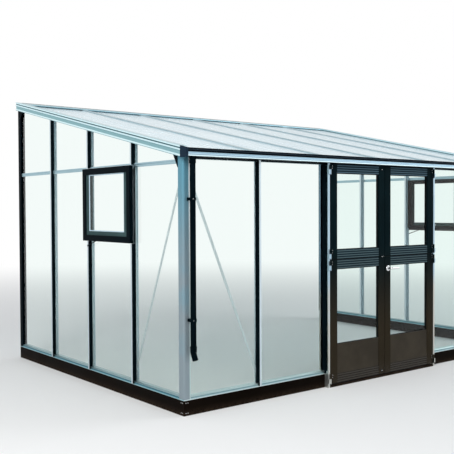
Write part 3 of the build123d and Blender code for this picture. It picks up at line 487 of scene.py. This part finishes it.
nodes_with_finish = {
    "post": ["corner_posts"],
    "bar": ["side_bars", "front_bars"],
    "casing": ["door_posts"],
    "knuckle": ["hinge_knuckles"],
    "sill": ["sill_front"],
    "rail": ["side_rails"],
    "gable_sill": ["sill_sides"],
    "gutter": ["gutter"],
    "rake": ["rake_bars"],
    "roof_bar": ["roof_bars"],
    "plate": ["wall_plate"],
    "beam": ["eave_beam"],
    "brace": ["wind_braces"],
    "trim": ["eave_trim"],
    "end": ["gutter_ends"],
    "black": ["wall_posts", "glazing_caps", "corner_brackets", "downpipes", "pipe_clips", "vent_frames",
              "vent_sashes", "vent_stays"],
    "plinth": ["base_front", "base_sides", "threshold"],
    "door": ["left_stiles", "right_stiles", "left_hinges", "right_hinges"],
    "panel": ["left_panel", "right_panel"],
    "ribbed": ["left_rails", "right_rails"],
    "glass": ["side_glass_left", "side_glass_right", "front_glass", "left_glass", "right_glass"],
    "vent_pane": ["vent_glass"],
    "sheet": ["roof_sheets"],
    "chrome": ["handle_roses", "lever_handle", "left_latches"],
}
for finish, members in nodes_with_finish.items():
    for member in members:
        nodes[member].data.materials.clear()
        nodes[member].data.materials.append(finishes[finish])


# Mesh pieces
def strip_faces(rings, count, closed=False):
    """Faces between rings of points; a closed strip ends where it starts."""
    faces = []
    for r in range(rings if closed else rings - 1):
        following = (r + 1) % rings
        for k in range(count):
            n = (k + 1) % count
            faces.append((r * count + k, r * count + n, following * count + n, following * count + k))
    return faces


def fuller(share):
    """A share from -1 to 1, pushed outwards so that a circle becomes a rounded square."""
    return math.copysign(abs(share) ** 0.75, share)


SCREW_DOME = ((1, 0.2), (0.86, 0.72), (0.60, 0.95), (0.46, 1))
SCREW_SINK = 0.0004


class Pieces:
    """Collects faces for one object."""

    def __init__(self):
        self.points = []
        self.faces = []
        self.smooth = []

    def patch(self, points, faces, smooth=False):
        base = len(self.points)
        self.points += [Vector(p) for p in points]
        self.faces += [tuple(base + i for i in f) for f in faces]
        self.smooth += [smooth] * len(faces)

    def prism(self, outline, travel):
        """Solid of an outline of 3-D points, moved along travel."""
        n = len(outline)
        points = [Vector(p) for p in outline] + [Vector(p) + Vector(travel) for p in outline]
        sides = [(i, (i + 1) % n, n + (i + 1) % n, n + i) for i in range(n)]
        self.patch(points, [tuple(reversed(range(n))), tuple(range(n, 2 * n))] + sides)

    def turned(self, base, axis, rings, steps=20, closed=True):
        """Solid of revolution: rings are (radius, distance along the axis)."""
        axis = Vector(axis).normalized()
        side = axis.orthogonal().normalized()
        other = axis.cross(side)
        points = []
        for radius, along in rings:
            for k in range(steps):
                angle = 2 * math.pi * k / steps
                out = side * math.cos(angle) + other * math.sin(angle)
                points.append(Vector(base) + axis * along + out * radius)
        first = len(self.points)
        last = first + (len(rings) - 1) * steps
        self.patch(points, strip_faces(len(rings), steps), smooth=True)
        if closed:
            self.faces.append(tuple(first + k for k in reversed(range(steps))))
            self.faces.append(tuple(last + k for k in range(steps)))
            self.smooth += [False, False]

    def screw(self, place, axis, radius=0.0045, height=0.0022):
        """Domed screw with a six-sided recess."""
        dome = [(share * radius, rise * height) for share, rise in SCREW_DOME]
        self.turned(place, axis, [(radius, -SCREW_SINK)] + dome, closed=False)
        mouth = (0.46 * radius, height)
        foot = (0.42 * radius, 0.55 * height)
        middle = (0.0001, 0.50 * height)
        self.turned(place, axis, [mouth, foot], 6, closed=False)
        self.turned(place, axis, [foot, middle], 6, closed=False)

    def ring(self, outer, inner, outward, profile):
        """Mitred frame between two rectangles: profile points are (share from outer to inner, outwards)."""
        outward = Vector(outward).normalized()
        points = [Vector(a).lerp(Vector(b), share) + outward * out
                  for a, b in zip(outer, inner) for share, out in profile]
        self.patch(points, strip_faces(4, len(profile), closed=True))

    def loop(self, corners, outward, profile):
        """Mitred frame inside a rectangle: profile points are (towards the middle, outwards)."""
        corners = [Vector(c) for c in corners]
        centre = sum(corners, Vector()) / 4
        edges = [(corners[1] - corners[0]).normalized(), (corners[2] - corners[1]).normalized()]
        inner = []
        for corner in corners:
            diagonal = Vector()
            for edge in edges:
                diagonal += edge * math.copysign(1, (centre - corner).dot(edge))
            inner.append(corner + diagonal)
        self.ring(corners, inner, outward, profile)

    def tube(self, path, sections, steps=20):
        """Rounded bar along a path: one (half width, half height, side, up) for each point."""
        points = []
        for centre, (half_side, half_up, side, upward) in zip(path, sections):
            for k in range(steps):
                angle = 2 * math.pi * k / steps
                across = half_side * fuller(math.cos(angle))
                rise = half_up * fuller(math.sin(angle))
                points.append(Vector(centre) + Vector(side) * across + Vector(upward) * rise)
        faces = strip_faces(len(path), steps)
        faces.append(tuple(reversed(range(steps))))
        faces.append(tuple((len(path) - 1) * steps + k for k in range(steps)))
        self.patch(points, faces, smooth=True)

    def make(self, name, finish, body, slot, bevel=0.0):
        mesh = bpy.data.meshes.new(name)
        mesh.from_pydata([tuple(p) for p in self.points], [], self.faces)
        mesh.polygons.foreach_set("use_smooth", self.smooth)
        mesh.materials.append(finishes[finish])
        mesh.validate()
        mesh.update()
        piece = bpy.data.objects.new(name, mesh)
        scene.collection.objects.link(piece)
        if bevel:
            edge = piece.modifiers.new("edge", "BEVEL")
            edge.width = bevel
            edge.segments = 2
            edge.limit_method = "ANGLE"
        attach(piece, body)
        return piece


def both_sides(point):
    """The point and its mirror image across the middle of the front."""
    return [Vector(point), Vector((-point[0], point[1], point[2]))]


def facing_side(x, low, high):
    """Corners of a rectangle that faces along X, between two corners of a box."""
    return [(x, low.y, low.z), (x, high.y, low.z), (x, high.y, high.z), (x, low.y, high.z)]


def facing_front(y, low, high):
    """Corners of a rectangle that faces along Y, between two corners of a box."""
    return [(low.x, y, low.z), (high.x, y, low.z), (high.x, y, high.z), (low.x, y, high.z)]


# Screws at the plinth's corners, two on each face at the top and bottom: (radius, height) is a screw's size
FRAME_SCREW = (0.0035, 0.0016)
PLINTH_SCREW_LEVELS = (0.020, 0.096)
PLINTH_SCREW_INSETS = (0.018, 0.036)
plinth_screws = Pieces()
for level in PLINTH_SCREW_LEVELS:
    for inset in PLINTH_SCREW_INSETS:
        for sign in (-1, 1):
            plinth_screws.screw((sign * (HALF - inset), FRONT, level), (0, -1, 0), *FRAME_SCREW)
            plinth_screws.screw((sign * HALF, FRONT + inset, level), (sign, 0, 0), *FRAME_SCREW)
plinth_screws.make("plinth_screws", "steel", "frame", "bright_metal")

# Screws in each corner bracket: (from its outer edge, under the rake)
BRACKET_SCREWS = ((0.010, 0.020), (0.010, 0.060), (0.038, 0.014))
bracket_screws = Pieces()
bracket_low, bracket_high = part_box("corner_brackets")
for corner, way in ((bracket_low.y, 1), (bracket_high.y, -1)):
    for run, drop in BRACKET_SCREWS:
        place_y = corner + way * run
        for sign in (-1, 1):
            place = (-sign * bracket_low.x, place_y, roof_z(place_y) - RAKE_HEIGHT - drop)
            bracket_screws.screw(place, (sign, 0, 0), *FRAME_SCREW)
bracket_screws.make("bracket_screws", "black", "frame", "black_trim")

# Rubber lips beside the roof bars and inside the rakes, on the sheets
SEAL_SECTION = ((0, 0), (0.016, 0), (0.014, 0.0016), (0.004, 0.0026), (0, 0.0050))
SEAL_SINK = 0.0002
SEAL_START = SHEET_FOOT + 0.004
SEAL_END = WALL - 0.065
roof_seals = Pieces()
seal_edges = [(bar + sign * ROOF_BAR_HALF, sign, SEAL_START) for bar in ROOF_BARS for sign in (-1, 1)]
seal_edges += [(-RAKE_INSIDE, 1, FRONT), (RAKE_INSIDE, -1, FRONT)]
for edge_x, sign, start_y in seal_edges:
    base = Vector((edge_x, start_y, roof_z(start_y) - SHEET_DROP - SEAL_SINK))
    outline = [base + Vector((sign * out, 0, rise)) for out, rise in SEAL_SECTION]
    roof_seals.prism(outline, along_roof(start_y, SEAL_END))
roof_seals.make("roof_seals", "grey_rubber", "frame", "black_trim")

# Closing profiles on the lower ends of the roof sheets
END_WALL, END_PLAY, END_GAP, END_REACH = 0.0014, 0.0002, 0.0005, 0.016
END_TIP, END_BACK = -0.0012, -0.0001
END_SECTION = (
    (END_TIP, -SHEET - END_WALL), (END_REACH, -SHEET - END_WALL), (END_REACH, -SHEET - END_PLAY),
    (END_BACK, -SHEET - END_PLAY), (END_BACK, END_PLAY), (END_REACH, END_PLAY),
    (END_REACH, END_WALL), (END_TIP, END_WALL),
)
sheet_ends = Pieces()
starts = [-RAKE_INSIDE] + [bar + ROOF_BAR_HALF for bar in ROOF_BARS]
ends = [bar - ROOF_BAR_HALF for bar in ROOF_BARS] + [RAKE_INSIDE]
for start_x, end_x in zip(starts, ends):
    outline = []
    for run, rise in END_SECTION:
        y = SHEET_FOOT + run
        outline.append((start_x + END_GAP, y, roof_z(y) - SHEET_DROP + rise))
    sheet_ends.prism(outline, (end_x - start_x - 2 * END_GAP, 0, 0))
sheet_ends.make("sheet_end_profiles", "gutter", "frame", "aluminium")

# Gaskets round the panes of the leaves, outside and inside
BEAD = ((0.0, 0.0), (0.0055, 0.0), (0.0045, 0.0022), (0.0012, 0.0048), (0.0, 0.0048))
for body, node in (("left_leaf", "left_glass"), ("right_leaf", "right_glass")):
    low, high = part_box(node)
    under_rail = Vector((high.x, high.y, RAIL_SPANS[1][0]))
    over_rail = Vector((low.x, low.y, RAIL_SPANS[2][1]))
    beads = Pieces()
    for start, end in ((low, under_rail), (over_rail, high)):
        for face, way in ((low.y, -1), (high.y, 1)):
            beads.loop(facing_front(face, start, end), (0, way, 0), BEAD)
    beads.make(body + "_gaskets", "rubber", body, "black_trim")

# Vent panes: an inner rim outside with a light bead on its edge, a gasket inside
RIM_STILE, RIM_SILL, RIM_HEAD = 0.052, 0.035, 0.003
RIM = ((0.0, 0.0002), (1.0, 0.0002), (1.0, 0.0024), (0.85, 0.0036), (0.1, 0.0044), (0.0, 0.0044))
WIDE_BEAD = [(inside * 1.5, out) for inside, out in BEAD]
VENT_PANE = 0.004
vent_rims, vent_gaskets, vent_pane_beads = Pieces(), Pieces(), Pieces()
low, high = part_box("vent_glass")
rim_low = low + Vector((0, RIM_STILE, RIM_SILL))
rim_high = high - Vector((0, RIM_STILE, RIM_HEAD))
for sign in (-1, 1):
    x = sign * abs(low.x)
    vent_rims.ring(facing_side(x, low, high), facing_side(x, rim_low, rim_high), (sign, 0, 0), RIM)
    vent_pane_beads.loop(facing_side(x, rim_low, rim_high), (sign, 0, 0), WIDE_BEAD)
    vent_gaskets.loop(facing_side(x - sign * VENT_PANE, low, high), (-sign, 0, 0), BEAD)
vent_rims.make("vent_inner_rims", "vent_rim", "frame", "black_trim")
vent_gaskets.make("vent_gaskets", "rubber", "frame", "black_trim")
vent_pane_beads.make("vent_pane_beads", "gutter", "frame", "aluminium")

# Drip strips over the vent sashes
sash_low, sash_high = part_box("vent_sashes")
DRIP_PLAY, DRIP_WALL, DRIP_LIP = 0.0002, 0.0014, 0.006
DRIP_FACE = abs(sash_low.x) - DRIP_PLAY
DRIP_BACK = HALF + 0.0085
DRIP_SECTION = (
    (DRIP_FACE, -DRIP_LIP), (DRIP_FACE - DRIP_WALL, -DRIP_LIP), (DRIP_FACE - DRIP_WALL, DRIP_PLAY),
    (DRIP_BACK, DRIP_PLAY), (DRIP_BACK, 0.0045), (DRIP_FACE, 0.0018),
)
drips = Pieces()
for sign in (-1, 1):
    outline = [(sign * out, sash_low.y, sash_high.z + rise) for out, rise in DRIP_SECTION]
    drips.prism(outline, (0, sash_high.y - sash_low.y, 0))
drips.make("vent_drip_strips", "bar", "frame", "aluminium")

# Two catch knobs on the lower frame member of each vent
CATCH_RINGS = ((0.008, 0), (0.008, 0.006), (0.0065, 0.009), (0.003, 0.010), (0.003, 0.016),
               (0.0045, 0.018), (0.0045, 0.022), (0.0025, 0.024))
CATCH_OFFSETS = (-0.055, 0.0)
CATCH_SINK = 0.0005
CATCH_X = HALF - 0.012
VENT_MEMBER = 0.032
catches = Pieces()
vent_mid_y = (sash_low.y + sash_high.y) / 2
catch_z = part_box("vent_frames")[0].z + VENT_MEMBER - CATCH_SINK
for sign in (-1, 1):
    for offset in CATCH_OFFSETS:
        catches.turned((sign * CATCH_X, vent_mid_y + offset, catch_z), (0, 0, 1), CATCH_RINGS, 16)
catches.make("vent_catches", "chrome", "frame", "bright_metal")

# Bolts at both ends of the wind braces: (from the corner, height) for each end
BRACE_FACE = 0.024
FRONT_BRACE_ENDS = ((0.073, 1.790), (0.730, 0.215))
GABLE_BRACE_ENDS = ((0.073, 1.725), (0.705, 0.215))
NUT_RINGS = ((0.0065, -0.0002), (0.0065, 0.0012), (0.0052, 0.0013), (0.0052, 0.0045), (0.0040, 0.0052))
STUD_START = 0.005
STUD_RINGS = ((0.003, 0), (0.003, 0.004), (0.002, 0.005))
brace_bolts = Pieces()


def brace_bolt(point, inward):
    """Nut and stud on the inner face of a brace."""
    brace_bolts.turned(point, inward, NUT_RINGS, 6)
    brace_bolts.turned(point + Vector(inward) * STUD_START, inward, STUD_RINGS, 12)


for run, level in FRONT_BRACE_ENDS:
    for point in both_sides((-HALF + run, FRONT + BRACE_FACE, level)):
        brace_bolt(point, (0, 1, 0))
for run, level in GABLE_BRACE_ENDS:
    for point in both_sides((-HALF + BRACE_FACE, FRONT + run, level)):
        brace_bolt(point, (-math.copysign(1, point.x), 0, 0))
brace_bolts.make("brace_bolts", "steel", "frame", "bright_metal")

# Collars on the downpipes, under the gutter and over the shoe, with clip screws
PIPE_RADIUS = 0.022
PIPE_SOCKET = PIPE_RADIUS - 0.001
PIPE_X = HALF - 0.058
PIPE_Y = FRONT - 0.045
SHOE_LEVEL = 0.478
TOP_COLLAR = ((PIPE_SOCKET, 0.050), (0.0252, 0.050), (0.0252, 0.012), (0.0275, 0.010), (0.0275, 0.0003),
              (PIPE_SOCKET, 0.0003))
FOOT_COLLAR = ((PIPE_SOCKET, 0.0), (0.0246, 0.0), (0.0250, 0.003), (0.0250, 0.032), (0.0266, 0.034),
               (0.0266, 0.041), (0.0255, 0.043), (PIPE_SOCKET, 0.043))
CLIP_HEIGHT = 0.022
CLIP_SCREW = (0.003, 0.0014)
CLIP_SCREW_X = PIPE_X + 0.012
CLIP_FACE = PIPE_Y - 0.0228
collars = Pieces()
clip_screws = Pieces()
pipe_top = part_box("downpipes")[1].z
clip_low, clip_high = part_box("pipe_clips")
for sign in (-1, 1):
    collars.turned((sign * PIPE_X, PIPE_Y, pipe_top), (0, 0, -1), TOP_COLLAR, 32, closed=False)
    collars.turned((sign * PIPE_X, PIPE_Y, SHOE_LEVEL), (0, 0, 1), FOOT_COLLAR, 32, closed=False)
    for level in (clip_low.z, clip_high.z - CLIP_HEIGHT):
        place = (sign * CLIP_SCREW_X, CLIP_FACE, level + CLIP_HEIGHT / 2)
        clip_screws.screw(place, (0, -1, 0), *CLIP_SCREW)
collars.make("pipe_collars", "black", "frame", "black_trim")
clip_screws.make("clip_screws", "steel", "frame", "bright_metal")

# Screws along the wall plate's sloping flashing, sealant on its top edge
PLATE_SCREW_PITCH = 0.4
PLATE_SCREW_RUN, PLATE_SCREW_LEVEL = 0.033, 2.6370
FLASHING_NORMAL = (0, -0.316, 0.949)
SEALANT_LEVEL = 2.6458
SEALANT_SECTION = ((0.0, 0.0), (0.0058, 0.0), (0.0040, 0.0012), (0.0018, 0.0026), (0.0, 0.0040))
plate_screws = Pieces()
for n in range(-5, 6):
    place = (n * PLATE_SCREW_PITCH, WALL - PLATE_SCREW_RUN, PLATE_SCREW_LEVEL)
    plate_screws.screw(place, FLASHING_NORMAL)
plate_screws.make("plate_screws", "steel", "frame", "bright_metal")
sealant = Pieces()
outline = [(-RAKE_INSIDE, WALL - out, SEALANT_LEVEL + rise) for out, rise in SEALANT_SECTION]
sealant.prism(outline, (2 * RAKE_INSIDE, 0, 0))
sealant.make("wall_sealant", "rubber", "frame", "black_trim")

# Hinge screws and the caps under the pins
HINGE_X, HINGE_Y = 0.710, LEAF_FACE - 0.010
HINGE_SCREW = (0.0032, 0.0012)
HINGE_SCREW_X, HINGE_PLATE_FACE = HINGE_X - 0.021, LEAF_FACE - 0.005
HINGE_SCREW_RISES = (0.050, 0.070)
KNUCKLE_LEVELS = (0.036, 1.0105, 1.1095, 1.833)
CAP_RINGS = ((0.0070, -0.0003), (0.0070, 0.0012), (0.0055, 0.0032), (0.0030, 0.0045), (0.0012, 0.0048))
hinge_screws = {"left_leaf": Pieces(), "right_leaf": Pieces()}
pin_caps = Pieces()
for level in KNUCKLE_LEVELS:
    for sign, body in ((-1, "left_leaf"), (1, "right_leaf")):
        for rise in HINGE_SCREW_RISES:
            place = (sign * HINGE_SCREW_X, HINGE_PLATE_FACE, level + rise)
            hinge_screws[body].screw(place, (0, -1, 0), *HINGE_SCREW)
        pin_caps.turned((sign * HINGE_X, HINGE_Y, level), (0, 0, -1), CAP_RINGS, 24)
for body, pieces in hinge_screws.items():
    pieces.make(body + "_hinge_screws", "steel", body, "bright_metal")
pin_caps.make("hinge_pin_caps", "knuckle", "frame", "door_paint")

# Brush under each leaf: (from the middle of the leaf, from its foot)
BRUSH_SECTION = ((-0.003, 0.0002), (0.003, 0.0002), (0.0022, -0.0068), (-0.0022, -0.0068))
BRUSH_INSET = 0.003
STILES = (("left_stiles", "left_leaf"), ("right_stiles", "right_leaf"))
leaf_middle = (LEAF_FACE + LEAF_BACK) / 2
for node, body in STILES:
    low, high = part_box(node)
    brush = Pieces()
    outline = [(low.x + BRUSH_INSET, leaf_middle + offset, LEAF_FOOT + rise)
               for offset, rise in BRUSH_SECTION]
    brush.prism(outline, (high.x - low.x - 2 * BRUSH_INSET, 0, 0))
    brush.make(body + "_brush", "brush", body, "black_trim")

# Rubber in the meeting gap, one strip near each face
MEETING_SPANS = ((LEAF_FOOT + 0.002, SPLIT_LEVEL - 0.0045), (SPLIT_LEVEL + 0.0045, LEAF_HEAD - 0.002))
MEETING_STRIPS = ((LEAF_FACE + 0.009, 0.0034), (LEAF_BACK - 0.009, 0.0003))
MEETING_BASE, MEETING_STEM, MEETING_HALF = -0.0042, -0.0015, 0.003
meeting = Pieces()
for start_z, end_z in MEETING_SPANS:
    for y, tip in MEETING_STRIPS:
        section = ((MEETING_BASE, -MEETING_HALF), (MEETING_STEM, -MEETING_HALF), (tip, 0),
                   (MEETING_STEM, MEETING_HALF), (MEETING_BASE, MEETING_HALF))
        outline = [(x, y + offset, start_z) for x, offset in section]
        meeting.prism(outline, (0, 0, end_z - start_z))
meeting.make("left_leaf_meeting_seal", "rubber", "left_leaf", "black_trim")

# Rubber between the lower and the upper half of each leaf
SPLIT_SECTION = (
    (-0.004, -0.0037), (0.004, -0.0037), (0.003, 0), (0.004, 0.0037), (-0.004, 0.0037), (-0.003, 0),
)
SPLIT_INSET = 0.002
SPLIT_MIDDLE = LEAF_FACE + 0.014
for node, body in STILES:
    low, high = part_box(node)
    rebate = Pieces()
    outline = [(low.x + SPLIT_INSET, SPLIT_MIDDLE + offset, SPLIT_LEVEL + rise)
               for offset, rise in SPLIT_SECTION]
    rebate.prism(outline, (high.x - low.x - 2 * SPLIT_INSET, 0, 0))
    rebate.make(body + "_split_seal", "rubber", body, "black_trim")

# Fixed frames of the vents with less depth, so that they end just inside the panes
VENT_BACK = HALF - 0.0225
vent_mesh = nodes["vent_frames"].data.copy()
vent_mesh.transform(nodes["vent_frames"].matrix_world)
for vertex in vent_mesh.vertices:
    if abs(vertex.co.x) < VENT_BACK:
        vertex.co.x = math.copysign(VENT_BACK, vertex.co.x)
vent_mesh.update()
vent_frames = bpy.data.objects.new("vent_fixed_frames", vent_mesh)
scene.collection.objects.link(vent_frames)
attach(vent_frames, "frame")
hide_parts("vent_frames")

# Ribbed rails with rounded ribs, in place of the plain ones
RIB_DEPTH = 0.003
RIB_SECTION = ((1.0, 0.0), (0.90, 0.0), (0.82, 0.0022), (0.70, 0.0029), (0.50, 0.0030), (0.30, 0.0029),
               (0.18, 0.0022), (0.10, 0.0))
for node, body in (("left_rails", "left_leaf"), ("right_rails", "right_leaf")):
    low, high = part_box(node)
    ribbed = Pieces()
    face_y = low.y + RIB_DEPTH
    for rail_low, rail_high in RAIL_SPANS:
        outline = [(low.x, high.y, rail_low), (low.x, high.y, rail_high)]
        rib = (rail_high - rail_low) / RIBS
        for n in reversed(range(RIBS)):
            outline += [(low.x, face_y - out, rail_low + (n + share) * rib) for share, out in RIB_SECTION]
        outline.append((low.x, face_y, rail_low))
        ribbed.prism(outline, (high.x - low.x, 0, 0))
    rail_piece = ribbed.make(body + "_ribbed_rails", "ribbed", body, "door_paint")
    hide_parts(node)

# Rose with a rounded rim on each face, in place of the plain discs
HANDLE_X, HANDLE_Z = 0.0415, 0.990
LEAF_SIDES = ((LEAF_FACE, -1), (LEAF_BACK, 1))
ROSE_RINGS = ((0.026, 0.0), (0.026, 0.0042), (0.0252, 0.0062), (0.0232, 0.0074), (0.0205, 0.0079),
              (0.0130, 0.0080), (0.0118, 0.0074), (0.0100, 0.0072), (0.0087, 0.0072), (0.0087, 0.0))
roses = Pieces()
for face, way in LEAF_SIDES:
    roses.turned((HANDLE_X, face, HANDLE_Z), (0, way, 0), ROSE_RINGS, 48, closed=False)
rose_piece = roses.make("handle_rose_discs", "chrome", "right_leaf", "bright_metal")
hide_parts("handle_roses")

# Lever: round neck, bend and a slim arm that thins towards its rounded end
NECK = ((-0.015, 0.0078), (0.006, 0.0078), (0.0085, 0.0088), (0.012, 0.0088), (0.014, 0.0080),
        (0.030, 0.0080))
BEND_RADIUS, BEND_STEPS = 0.014, 8
BEND_START, BEND_END = (0.0080, 0.0080), (0.0072, 0.0096)
LEVER_REACH = 0.0465
ARM = ((0.030, 0.0070, 0.0098), (0.055, 0.0064, 0.0096), (0.080, 0.0062, 0.0092), (0.0945, 0.0060, 0.0088),
       (0.0995, 0.0050, 0.0074), (0.1015, 0.0032, 0.0048))
UPWARD = (0, 0, 1)
lever = Pieces()
for face, way in LEAF_SIDES:
    path = [(HANDLE_X, face + way * out, HANDLE_Z) for out, radius in NECK]
    sections = [(radius, radius, (1, 0, 0), UPWARD) for out, radius in NECK]
    for k in range(1, BEND_STEPS + 1):
        share = k / BEND_STEPS
        angle = math.pi / 2 * share
        along = BEND_RADIUS * (1 - math.cos(angle))
        out = LEVER_REACH - BEND_RADIUS * (1 - math.sin(angle))
        path.append((HANDLE_X + along, face + way * out, HANDLE_Z))
        half_side, half_up = (a + (b - a) * share for a, b in zip(BEND_START, BEND_END))
        sections.append((half_side, half_up, (math.cos(angle), -way * math.sin(angle), 0), UPWARD))
    for along, half_side, half_up in ARM:
        path.append((HANDLE_X + along, face + way * LEVER_REACH, HANDLE_Z))
        sections.append((half_side, half_up, (0, -way, 0), UPWARD))
    lever.tube(path, sections, 24)
lever_piece = lever.make("lever_arms", "chrome", "door_handle", "bright_metal")
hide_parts("lever_handle")

# Latches: a plate with two screws and a small thumb slide, in place of the plain blocks
LATCH_LEVELS = (0.060, SPLIT_LEVEL, 1.889)
LATCH_SCREW = (0.0022, 0.0010)
LATCH_SCREW_RISES = (-0.0088, 0.0088)
SLIDE_RINGS = ((0.0046, 0), (0.0046, 0.0016), (0.0040, 0.0026), (0.0028, 0.0031), (0.0010, 0.0033))
PLATE_RADIUS, PLATE_STEPS = 0.003, 24
PLATE_HALF_X, PLATE_HALF_Z = 0.0066, 0.0130
PLATE_DEPTH, PLATE_SINK = 0.0018, 0.0002
low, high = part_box("left_latches")
latch_x = (low.x + high.x) / 2
plate_face = LEAF_FACE - PLATE_DEPTH + PLATE_SINK
latches, slides = Pieces(), Pieces()
for level in LATCH_LEVELS:
    plate = []
    for k in range(PLATE_STEPS):
        angle = 2 * math.pi * (k + 0.5) / PLATE_STEPS
        across, rise = math.cos(angle), math.sin(angle)
        x = latch_x + math.copysign(PLATE_HALF_X - PLATE_RADIUS, across) + PLATE_RADIUS * across
        z = level + math.copysign(PLATE_HALF_Z - PLATE_RADIUS, rise) + PLATE_RADIUS * rise
        plate.append((x, LEAF_FACE, z))
    latches.prism(plate, (0, -PLATE_DEPTH, 0))
    slides.turned((latch_x, plate_face, level), (0, -1, 0), SLIDE_RINGS, 24)
    for rise in LATCH_SCREW_RISES:
        latches.screw((latch_x, plate_face, level + rise), (0, -1, 0), *LATCH_SCREW)
slides.make("left_latch_slides", "steel", "left_leaf", "bright_metal")
latch_piece = latches.make("left_latch_plates", "black", "left_leaf", "bright_metal", bevel=0.0004)
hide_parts("left_latches")

# Tread ribs on the threshold, which rises towards the inside
TREAD_START, TREAD_PITCH, TREADS = 0.006, 0.0062, 6
TREAD_LEVEL = 0.011
TREAD_SLOPE = 0.25
TREAD_SECTION = ((0, -0.0004), (0.0024, 0.0002), (0.0018, 0.0014), (0.0006, 0.0011))
tread = Pieces()
low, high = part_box("threshold")
for n in range(TREADS):
    run = TREAD_START + n * TREAD_PITCH
    level = TREAD_LEVEL + run * TREAD_SLOPE
    outline = [(low.x, LEAF_FACE + run + out, level + rise) for out, rise in TREAD_SECTION]
    tread.prism(outline, (high.x - low.x, 0, 0))
tread.make("threshold_ribs", "plinth", "frame", "plinth_steel")


# Floor, sky and lamps
def clear_rays(tree):
    """1 for rays from the camera, mirrored rays and rays through glass."""
    rays = add_node(tree, "ShaderNodeLightPath").outputs
    share = rays["Is Camera Ray"]
    for other in ("Is Glossy Ray", "Is Transmission Ray"):
        share = add_node(tree, "ShaderNodeMath", {0: share, 1: rays[other]}, operation="MAXIMUM").outputs[0]
    return share


FLOOR_RADIUS = 60
FADE_START, FADE_END = 2.6, 15.0
floor_mesh = bpy.data.meshes.new("floor")
turns = [2 * math.pi * k / 64 for k in range(64)]
rim = [(FLOOR_RADIUS * math.cos(a), FLOOR_RADIUS * math.sin(a), 0) for a in turns]
floor_mesh.from_pydata(rim, [], [tuple(range(64))])
floor = bpy.data.objects.new("floor", floor_mesh)
scene.collection.objects.link(floor)
floor_material = bpy.data.materials.new("floor")
floor_material.use_nodes = True
tree = floor_material.node_tree
tree.nodes.remove(tree.nodes["Principled BSDF"])
place = add_node(tree, "ShaderNodeTexCoord").outputs["Object"]
distance = add_node(tree, "ShaderNodeVectorMath", {0: place}, operation="LENGTH").outputs["Value"]
fade = add_node(tree, "ShaderNodeMapRange", {0: distance}, interpolation_type="SMOOTHSTEP", in_1=FADE_START,
                in_2=FADE_END, in_3=0.0, in_4=1.0).outputs[0]
share = add_node(tree, "ShaderNodeMath", {0: clear_rays(tree), 1: fade}, operation="MULTIPLY").outputs[0]
matt = add_node(tree, "ShaderNodeBsdfDiffuse", in_Color=(0.86, 0.86, 0.86, 1)).outputs[0]
glow = add_node(tree, "ShaderNodeEmission", in_Strength=1.0).outputs[0]
blend = add_node(tree, "ShaderNodeMixShader", {0: share, 1: matt, 2: glow}).outputs[0]
tree.links.new(blend, tree.nodes["Material Output"].inputs["Surface"])
floor.data.materials.append(floor_material)

world = bpy.data.worlds.new("studio")
scene.world = world
world.use_nodes = True
tree = world.node_tree
plain = tree.nodes["Background"]
plain.inputs["Color"].default_value = (0.94, 0.97, 1.0, 1)
plain.inputs["Strength"].default_value = 0.62
white = add_node(tree, "ShaderNodeBackground", in_Color=(1, 1, 1, 1), in_Strength=1.0).outputs[0]
share = clear_rays(tree)
blend = add_node(tree, "ShaderNodeMixShader", {0: share, 1: plain.outputs[0], 2: white}).outputs[0]
tree.links.new(blend, tree.nodes["World Output"].inputs["Surface"])


def lamp(name, place, target, size, power, colour):
    """Soft rectangular lamp that points at the target."""
    data = bpy.data.lights.new(name, "AREA")
    data.shape = "RECTANGLE"
    data.size, data.size_y = size
    data.energy = power
    data.color = colour
    light = bpy.data.objects.new(name, data)
    scene.collection.objects.link(light)
    light.location = place
    light.rotation_euler = (Vector(target) - Vector(place)).to_track_quat("-Z", "Y").to_euler()


lamp("key", (-7.0, -4.5, 6.5), (0, 0, 1), (4, 4), 420, (1.0, 0.985, 0.96))
lamp("fill", (6.5, -4.0, 5.0), (0, 0, 1.2), (5, 4), 160, (0.93, 0.97, 1.0))

scene.view_settings.view_transform = "Standard"
